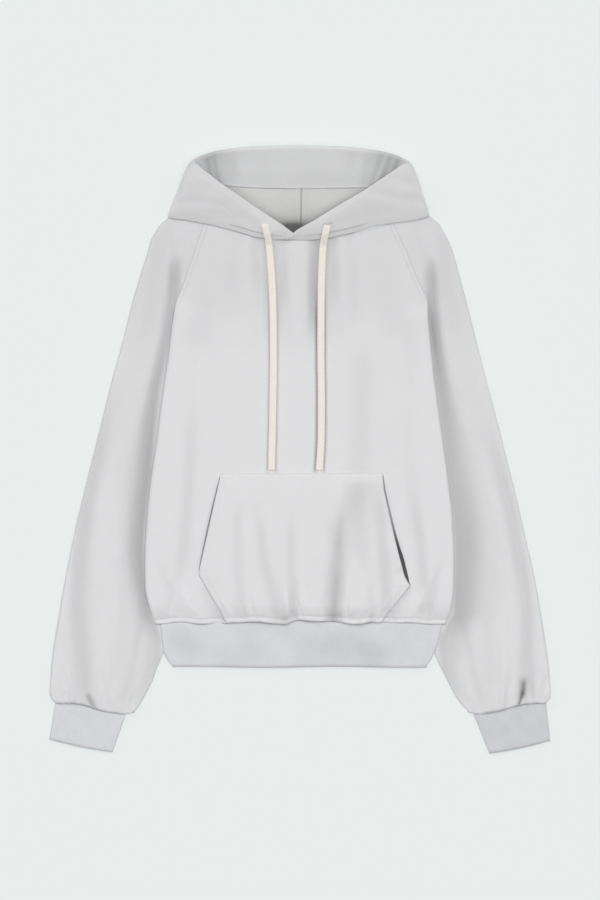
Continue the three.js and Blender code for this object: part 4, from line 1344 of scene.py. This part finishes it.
# A hood half is doubled cloth: its outside, its rounded edge at the opening, and its inner layer.
def hoodPlace(side):
    shape = hood[sideName(side)]
    folds = hood["folds"][side]
    stations = len(shape["edgeX"]) - 1
    reads = {key: track(range(stations + 1), values) for key, values in shape.items()}
    outerPart, lipPart, flatPart = hood["outerPart"], hood["lipPart"], hood["flatPart"]

    def place(u, v):
        at = u * stations
        edgeX, edgeY, edgeZ = (reads["edge" + axis](at) for axis in "XYZ")
        footX, footY, footZ = (reads["foot" + axis](at) for axis in "XYZ")
        sideZ = reads["sideZ"](at)
        reach = np.hypot(footX - edgeX, footY - edgeY)
        lip = np.minimum(hood["wall"] / 2, reach * 0.3)
        radius = np.minimum(hood["foldRadius"], reach * 0.25)
        # the panel slants from the opening's edge down to a small roll at its fold
        out = np.clip(1 - v / outerPart, 0, 1)
        flat, start = np.clip(out / flatPart, 0, 1), hood["foldStart"]
        rolling = mix(start, math.pi / 2, np.clip((out - flatPart) / (1 - flatPart), 0, 1))
        rollOut = (np.sin(rolling) - math.sin(start)) / (1 - math.sin(start))
        rollDown = (math.cos(start) - np.cos(rolling)) / math.cos(start)
        bulge = hood["bulge"] * smooth((reach - 12) / 30) * np.sin(math.pi * flat)
        outReach = mix(lip, reach - radius, flat) + radius * rollOut
        outZ = mix(edgeZ, sideZ, flat) - (sideZ - footZ) * rollDown + bulge
        turn = math.pi / 2 + math.pi * np.clip((v - outerPart) / (lipPart - outerPart), 0, 1)
        lipReach = lip + lip * np.cos(turn)
        lipZ = edgeZ - lip + lip * np.sin(turn)
        inner = np.clip((v - lipPart) / (1 - lipPart), 0, 1)
        inReach = mix(lip, np.maximum(reach - 2 * lip, lip + 0.3), inner)
        inZ = mix(edgeZ - 2 * lip, footZ, inner)
        onOuter, onLip = v < outerPart, v <= lipPart
        distance = np.where(onOuter, outReach, np.where(onLip, lipReach, inReach))
        z = np.where(onOuter, outZ, np.where(onLip, lipZ, inZ))
        t = distance / reach
        x, y = mix(edgeX, footX, t), mix(edgeY, footY, t)
        # creases, the stitched cord channel behind the edge and the line sewn above the neck seam
        panel = smooth((reach - 14) / 20) * onOuter
        crease = foldHeight(folds, x, y) + 0.35 * wander(x, y, 42, 52)
        channel = bell(distance - 27, 1.3) * smooth((reach - 38) / 10)
        neckLine = bell(reach - distance - 7.5, 1.0) * smooth((108 - np.abs(x + 3)) / 16)
        middle = smooth((1 - flat) * 5) * smooth(flat * 8)
        edgeRow = bell(distance - 6.5, 1.0) * smooth((reach - 30) / 20)
        z = z + panel * (crease * middle - 0.15 * channel - 0.8 * neckLine - 0.15 * edgeRow)
        # painted shade: darker along the line sewn above the neck seam, near the fold at the foot,
        # where the half is narrow, and a little all over
        low = 0.05 * bell(reach - distance, 9) * smooth(footZ / 9)
        paintedShade = panel * (0.42 * neckLine + low) + 0.075 + 0.045 * smooth((30 - reach) / 12)
        return x, y, np.maximum(z, 0), paintedShade

    return place


def makeHood():
    for side, name in ((-1, "hood_left"), (1, "hood_right")):
        half = sheetGrid(
            name + "_panel", hood["columns"], hood["rows"], hoodPlace(side), hood["cloth"],
            joined=True, capped=True,
        )
        dress(half, materials["fleece"])
        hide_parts(name)


makeHood()
print("hood laid")


inside = {
    "at": [0, 0.08, 0.2, 0.35, 0.5, 0.65, 0.8, 0.92, 1],
    "topX": [-160, -142, -112, -60, 0, 60, 112, 142, 163],
    "topY": [434.5, 443, 449.8, 454.9, 456, 454.4, 448.9, 442.2, 432],
    "topZ": [41, 44.4, 45.6, 46, 46, 46, 45.6, 44.4, 41],
    "crest": 2.6,
    "foldX": [-142, -122, -98, -50, 2, 52, 98, 124, 142],
    "foldY": [399.5, 397, 394.5, 392, 391.5, 392, 393, 394.5, 396],
    "foldZ": [20.5, 19.6, 18.6, 18.1, 18, 18.1, 18.6, 19.6, 20.5],
    "rollRadius": 2.4,
    # Upright wrinkles where the band turns into the hood's sides.
    "wrinkles": [
        ([(-138, 430), (-135, 412), (-131, 398)], 4.0, -2.6, 9),
        ([(-128, 436), (-126, 420), (-122, 400)], 4.4, -1.9, 10),
        ([(-121, 434), (-118, 418), (-114, 400)], 5, 1.2, 9),
        ([(-100, 430), (-97, 414)], 7, -0.9, 10),
        ([(145, 428), (140, 414), (136, 402)], 3.6, -2.8, 9),
        ([(134, 434), (129, 418), (123, 404)], 4.2, -1.9, 10),
        ([(120, 434), (114, 418), (108, 400)], 5, -1.5, 10),
        ([(126, 432), (121, 416), (116, 402)], 3.4, 1.3, 8),
        ([(100, 430), (97, 414), (95, 400)], 6, -1.2, 10),
        ([(78, 436), (74, 416)], 8, -0.7, 12),
    ],
    "centreX": 1.5,
    "bandPart": 0.8,  # share of the band's rows before it rolls under
    "bandColumns": 190,
    "bandRows": 48,
    "bandCloth": (320, 66),
    "halfColumns": 84,
    "halfRows": 60,
    "halfCloth": (130, 80),
    "lowZ": 2.7,
    "leastZ": 2.5,
}
insideTrack = {
    line + axis: track(inside["at"], inside[line + axis]) for line in ("top", "fold") for axis in "XYZ"
}


# The band slopes down inside the hood's edge and rolls under itself at its lower end.
def facingPlace(u, v):
    topX, topY, topZ = (insideTrack["top" + axis](u) for axis in "XYZ")
    foldX, foldY, foldZ = (insideTrack["fold" + axis](u) for axis in "XYZ")
    bandPart = inside["bandPart"]
    down = np.clip(v / bandPart, 0, 1)
    roll = math.pi * 1.1 * np.clip((v - bandPart) / (1 - bandPart), 0, 1)
    x = mix(topX, foldX, down)
    y = mix(topY, foldY + inside["rollRadius"], down) - inside["rollRadius"] * np.sin(roll)
    z = foldZ + (topZ + inside["crest"] - foldZ) * (1 - down) ** 1.15
    wrinkled = foldHeight(inside["wrinkles"], x, y) * smooth(down * 5)
    soft = 0.75 * wander(x, y, 44, 61) * smooth(down * 4)
    fadeRoll = (1 + np.cos(np.minimum(roll, math.pi))) / 2
    overEdge = -inside["crest"] * bell(down, 0.045)
    z = z + (wrinkled + soft) * fadeRoll - inside["rollRadius"] * (1 - np.cos(roll)) + overEdge
    # painted shade: darker towards the band's ends, lower down, just under its top edge, in its
    # wrinkles, and a little all over
    ends = 0.24 * smooth((np.abs(x) - 84) / 48) + 0.10 * smooth((down - 0.45) / 0.55)
    ends = ends + 0.05 * bell(down, 0.09) + 0.03
    return x, y, z, ends + np.clip(-wrinkled, 0, 4) * 0.07


# The inner halves slope down from the band to the neck and meet in the centre seam.
def insidePlace(side):
    start, end = (0.03, 0.5) if side < 0 else (0.5, 0.97)

    def place(u, v):
        at = mix(start, end, u)
        foldX, foldY, foldZ = (insideTrack["fold" + axis](at) for axis in "XYZ")
        lowX = foldX * 0.52
        neckY = bodyRow(np.full_like(lowX, body["neck"]), lowX) - 2
        x = mix(foldX, lowX, v)
        y = mix(foldY + 3, neckY, v)
        z = inside["lowZ"] + (foldZ - 2.5 - inside["lowZ"]) * (1 - v) ** 1.8
        fromCentre = np.abs(x - inside["centreX"])
        seam = 0.8 * bell(fromCentre - 5, 2.6) - 1.1 * bell(fromCentre, 1.1)
        seam = seam - 0.6 * bell(fromCentre - 9.5, 1.2)
        tension = -1.6 * bell(x - mix(0, -34 if side < 0 else 36, v), 9) * smooth(v * 3)
        z = z + seam + 0.3 * tension + 0.4 * wander(x, y, 36, 62)
        # painted shade: darkest at the bottom of the V, darker under the V's edges and along the centre
        # seam, and darker all over
        edgeY = np.where(x < -9, 327.4 + (-12.6 - x) * 0.72, 330 + (x + 4.5) * 0.61)
        paintedShade = bell(np.hypot((x + 10) / 1.4, y - 328), 13)
        paintedShade = paintedShade + 0.3 * bell(np.hypot((x + 8) / 1.5, y - 330), 34)
        paintedShade = paintedShade + 0.15 + 0.18 * bell(y - edgeY, 11) + 0.14 * bell(fromCentre, 1.0)
        return x, y, np.maximum(z, inside["leastZ"]), paintedShade

    return place


# The rest of the hood lies crumpled under its inside, layer on layer.
heap = {
    "x": 1.5,
    "y": 394,
    "halfWidth": 112,
    "halfDepth": 44,
    "layers": 3,
    "flatPart": 0.25,  # share of the rows on its underside, and again on its top
    "columns": 96,
    "rows": 60,
    "cloth": (600, 120),
}


def heapPlace(u, v):
    angle = 2 * math.pi * u
    flat = heap["flatPart"]
    climb = np.clip((v - flat) / (1 - 2 * flat), 0, 1)
    lobe = np.abs(np.sin(climb * heap["layers"] * math.pi)) ** 0.7
    share = np.where(v > 1 - flat, (1 - v) / flat * 0.86, 0.93 - 0.07 * climb + 0.05 * lobe)
    share = np.where(v < flat, v / flat * 0.94, share)
    x = heap["x"] + heap["halfWidth"] * share * np.cos(angle)
    y = heap["y"] + heap["halfDepth"] * share * np.sin(angle)
    top = 3.2 + np.maximum(0, y - 348) * 0.2
    return x, y, climb * top


def makeInside():
    band = sheetGrid(
        "hood_facing_band", inside["bandColumns"], inside["bandRows"], facingPlace, inside["bandCloth"]
    )
    thicken(band, body["wall"])
    dress(band, materials["facing"])
    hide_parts("hood_facing")
    for side, name in ((-1, "hood_inside_left"), (1, "hood_inside_right")):
        half = sheetGrid(
            name + "_panel", inside["halfColumns"], inside["halfRows"], insidePlace(side),
            inside["halfCloth"],
        )
        thicken(half, body["wall"])
        dress(half, materials["lining"])
        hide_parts(name)
    folded = sheetGrid(
        "hood_folded_layers", heap["columns"], heap["rows"], heapPlace, heap["cloth"],
        joined=True, capped=True,
    )
    dress(folded, materials["lining"])
    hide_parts("hood_folded")


makeInside()
print("hood inside laid")


# Sewing: rows of small stitches in thread of the cloth's own shade

sewing = {
    "pitch": 3.3,
    "long": 2.5,
    "thick": 0.62,
    "sunk": 0.05,
    "hemGap": 7.2,  # from the rib's seam up to the row sewn above it
}


# One stitch is a small long bead, `size` being its three half measures.
def addStitch(bm, middle, turn, size):
    shape = Matrix.Diagonal((*[half * mm for half in size], 1))
    bmesh.ops.create_uvsphere(
        bm, u_segments=6, v_segments=4, radius=1, matrix=Matrix.Translation(middle) @ turn @ shape
    )


def stitchesAlong(bm, points):
    at = distanceAlong(points)
    count = int(at[-1] / sewing["pitch"])
    for k in range(count):
        where = (k + 0.5) * sewing["pitch"]
        ends = [
            np.array([np.interp(where + half, at, points[:, axis]) for axis in range(3)])
            for half in (-sewing["long"] / 2, sewing["long"] / 2)
        ]
        middle = Vector((ends[0] + ends[1]) / 2 * mm)
        middle.z -= sewing["sunk"] * mm
        along = Vector(ends[1] - ends[0])
        turn = along.to_track_quat("X", "Z").to_matrix().to_4x4()
        addStitch(bm, middle, turn, (sewing["long"] / 2, sewing["thick"] / 2, sewing["thick"] / 2))


def finishStitches(name, rows):
    bm = bmesh.new()
    bm.loops.layers.uv.new("cloth")
    for row in rows:
        stitchesAlong(bm, row)
    smoothFaces(bm)
    dress(newMesh(name, bm), materials["thread"])


def frontRow(x, y):
    return np.stack([x, y, frontHeight(x, y)], axis=1)


def pocketRow(u, row):
    v = (row - pocket["top"]) / (body["hem"] - pocket["top"])
    return np.stack(pocketPlace(u, v)[:3], axis=1)


def sewFront():
    rows = []
    y = np.linspace(338, 232, 60)
    for side in (-1, 1):
        for inset in (1.9, 7.6):
            x = bodyEdge(side, y) - side * inset
            keep = y < 330 - 0.1 * inset
            rows.append(frontRow(x[keep], y[keep]))
    x = np.linspace(-27, 18, 30)
    for neckRow in (309.6, 304.6):
        rows.append(frontRow(x, np.full_like(x, neckRow) + 0.0016 * (x + 4) ** 2))
    for start, end in ((-206, -116), (130, 208)):
        x = np.linspace(start, end, 80)
        rows.append(frontRow(x, hemLine(x) + sewing["hemGap"]))
    finishStitches("body_stitching", rows)


def sewPocket():
    rows = []
    depth = np.linspace(pocket["top"] - 6, -180, 60)
    low = np.linspace(-200, -256, 40)
    for inset in (3.0, 9.0):
        for side in (-1, 1):
            for row, gap in ((depth, inset), (low, inset - 0.9)):
                left, right = pocketEdge(-1, row), pocketEdge(1, row)
                share = gap / (right - left)
                rows.append(pocketRow(share if side < 0 else 1 - share, row))
        u = np.linspace(0.03, 0.97, 90)
        rows.append(pocketRow(u, np.full_like(u, pocket["top"] - inset + 0.6)))
    u = np.linspace(0.04, 0.96, 160)
    x = mix(-112, 126, u)
    y = hemLine(x) + sewing["hemGap"]
    hemRow = np.stack([x, y, pocketSurface(x, y, pocketEdge(-1, y), pocketEdge(1, y))], axis=1)
    left, right = pocketEdge(-1, -255.0), pocketEdge(1, -255.0)
    share = (x - left) / (right - left)
    rows.append(hemRow[(share > 0.02) & (share < 0.98)])
    finishStitches("pocket_stitching", rows)


sewFront()
sewPocket()
print("sewing done")


# Buttonholes that the drawcords leave the hood by

buttonhole = {
    "long": 14,
    "wide": 3.0,
    "turns": 40,
    "drop": 1.6,  # how far below the cord's first point its edge lies
    "stitch": (1.3, 0.42, 0.5),
    "headings": {"left": -12, "right": 10},
}


def makeButtonholes():
    bm = bmesh.new()
    bm.loops.layers.uv.new("cloth")
    for side, heading in buttonhole["headings"].items():
        exitPoint = cordShape[side][0]
        lean = math.radians(heading)
        turn = Matrix.Rotation(lean + math.pi / 2, 4, "Z")
        for k in range(buttonhole["turns"]):
            angle = 2 * math.pi * k / buttonhole["turns"]
            offX = math.cos(angle) * buttonhole["long"] / 2
            offY = math.sin(angle) * buttonhole["wide"] / 2
            x = exitPoint[0] + offX * math.cos(lean) - offY * math.sin(lean)
            y = exitPoint[1] - 1 + offX * math.sin(lean) + offY * math.cos(lean)
            middle = Vector((x, y, exitPoint[2] - buttonhole["drop"])) * mm
            addStitch(bm, middle, turn, buttonhole["stitch"])
    smoothFaces(bm)
    dress(newMesh("buttonholes", bm), materials["thread"])


makeButtonholes()
print("buttonholes made")


# Floor, light and view

studio = {
    "floor": (0.281, 0.292, 0.289),
    "floorGlow": (0.530, 0.556, 0.5505),  # the paper is lit from behind, so that it stays even
    "floorSize": 30,
    "world": (0.99, 0.997, 1.0),
    "worldStrength": 0.25,
    # Wide soft lamps: the way each shines from, how wide it is and its strength.
    "softboxes": [
        {"name": "softboxOver", "from": (0.04, 0.08, 1), "wide": 36, "strength": 1.82},
        {"name": "softboxLeft", "from": (-0.9, 0.75, 1), "wide": 38, "strength": 0.56},
        {"name": "softboxRight", "from": (1.0, 0.35, 1), "wide": 38, "strength": 0.36},
    ],
}


def makeStudio():
    bm = bmesh.new()
    bmesh.ops.create_grid(bm, x_segments=1, y_segments=1, size=studio["floorSize"] / 2)
    floor = newMesh("floor", bm)
    material = bpy.data.materials.new("paper")
    material.use_nodes = True
    tree = material.node_tree
    shader = tree.nodes["Principled BSDF"]
    shader.inputs["Base Color"].default_value = (*studio["floor"], 1)
    shader.inputs["Emission Color"].default_value = (*studio["floorGlow"], 1)
    shader.inputs["Emission Strength"].default_value = 1
    shader.inputs["Roughness"].default_value = 1
    shader.inputs["Specular IOR Level"].default_value = 0
    floor.data.materials.append(material)
    world = bpy.data.worlds.new("studio")
    world.use_nodes = True
    world.node_tree.nodes["Background"].inputs[0].default_value = (*studio["world"], 1)
    world.node_tree.nodes["Background"].inputs[1].default_value = studio["worldStrength"]
    bpy.context.scene.world = world
    for box in studio["softboxes"]:
        lamp = bpy.data.lights.new(box["name"], "SUN")
        lamp.angle = math.radians(box["wide"])
        lamp.energy = box["strength"]
        lampObject = bpy.data.objects.new(box["name"], lamp)
        lampObject.location = Vector(box["from"]) * 2
        lampObject.rotation_mode = "QUATERNION"
        lampObject.rotation_quaternion = Vector(box["from"]).to_track_quat("Z", "Y")
        bpy.context.scene.collection.objects.link(lampObject)
    bpy.context.scene.view_settings.view_transform = "Standard"


makeStudio()
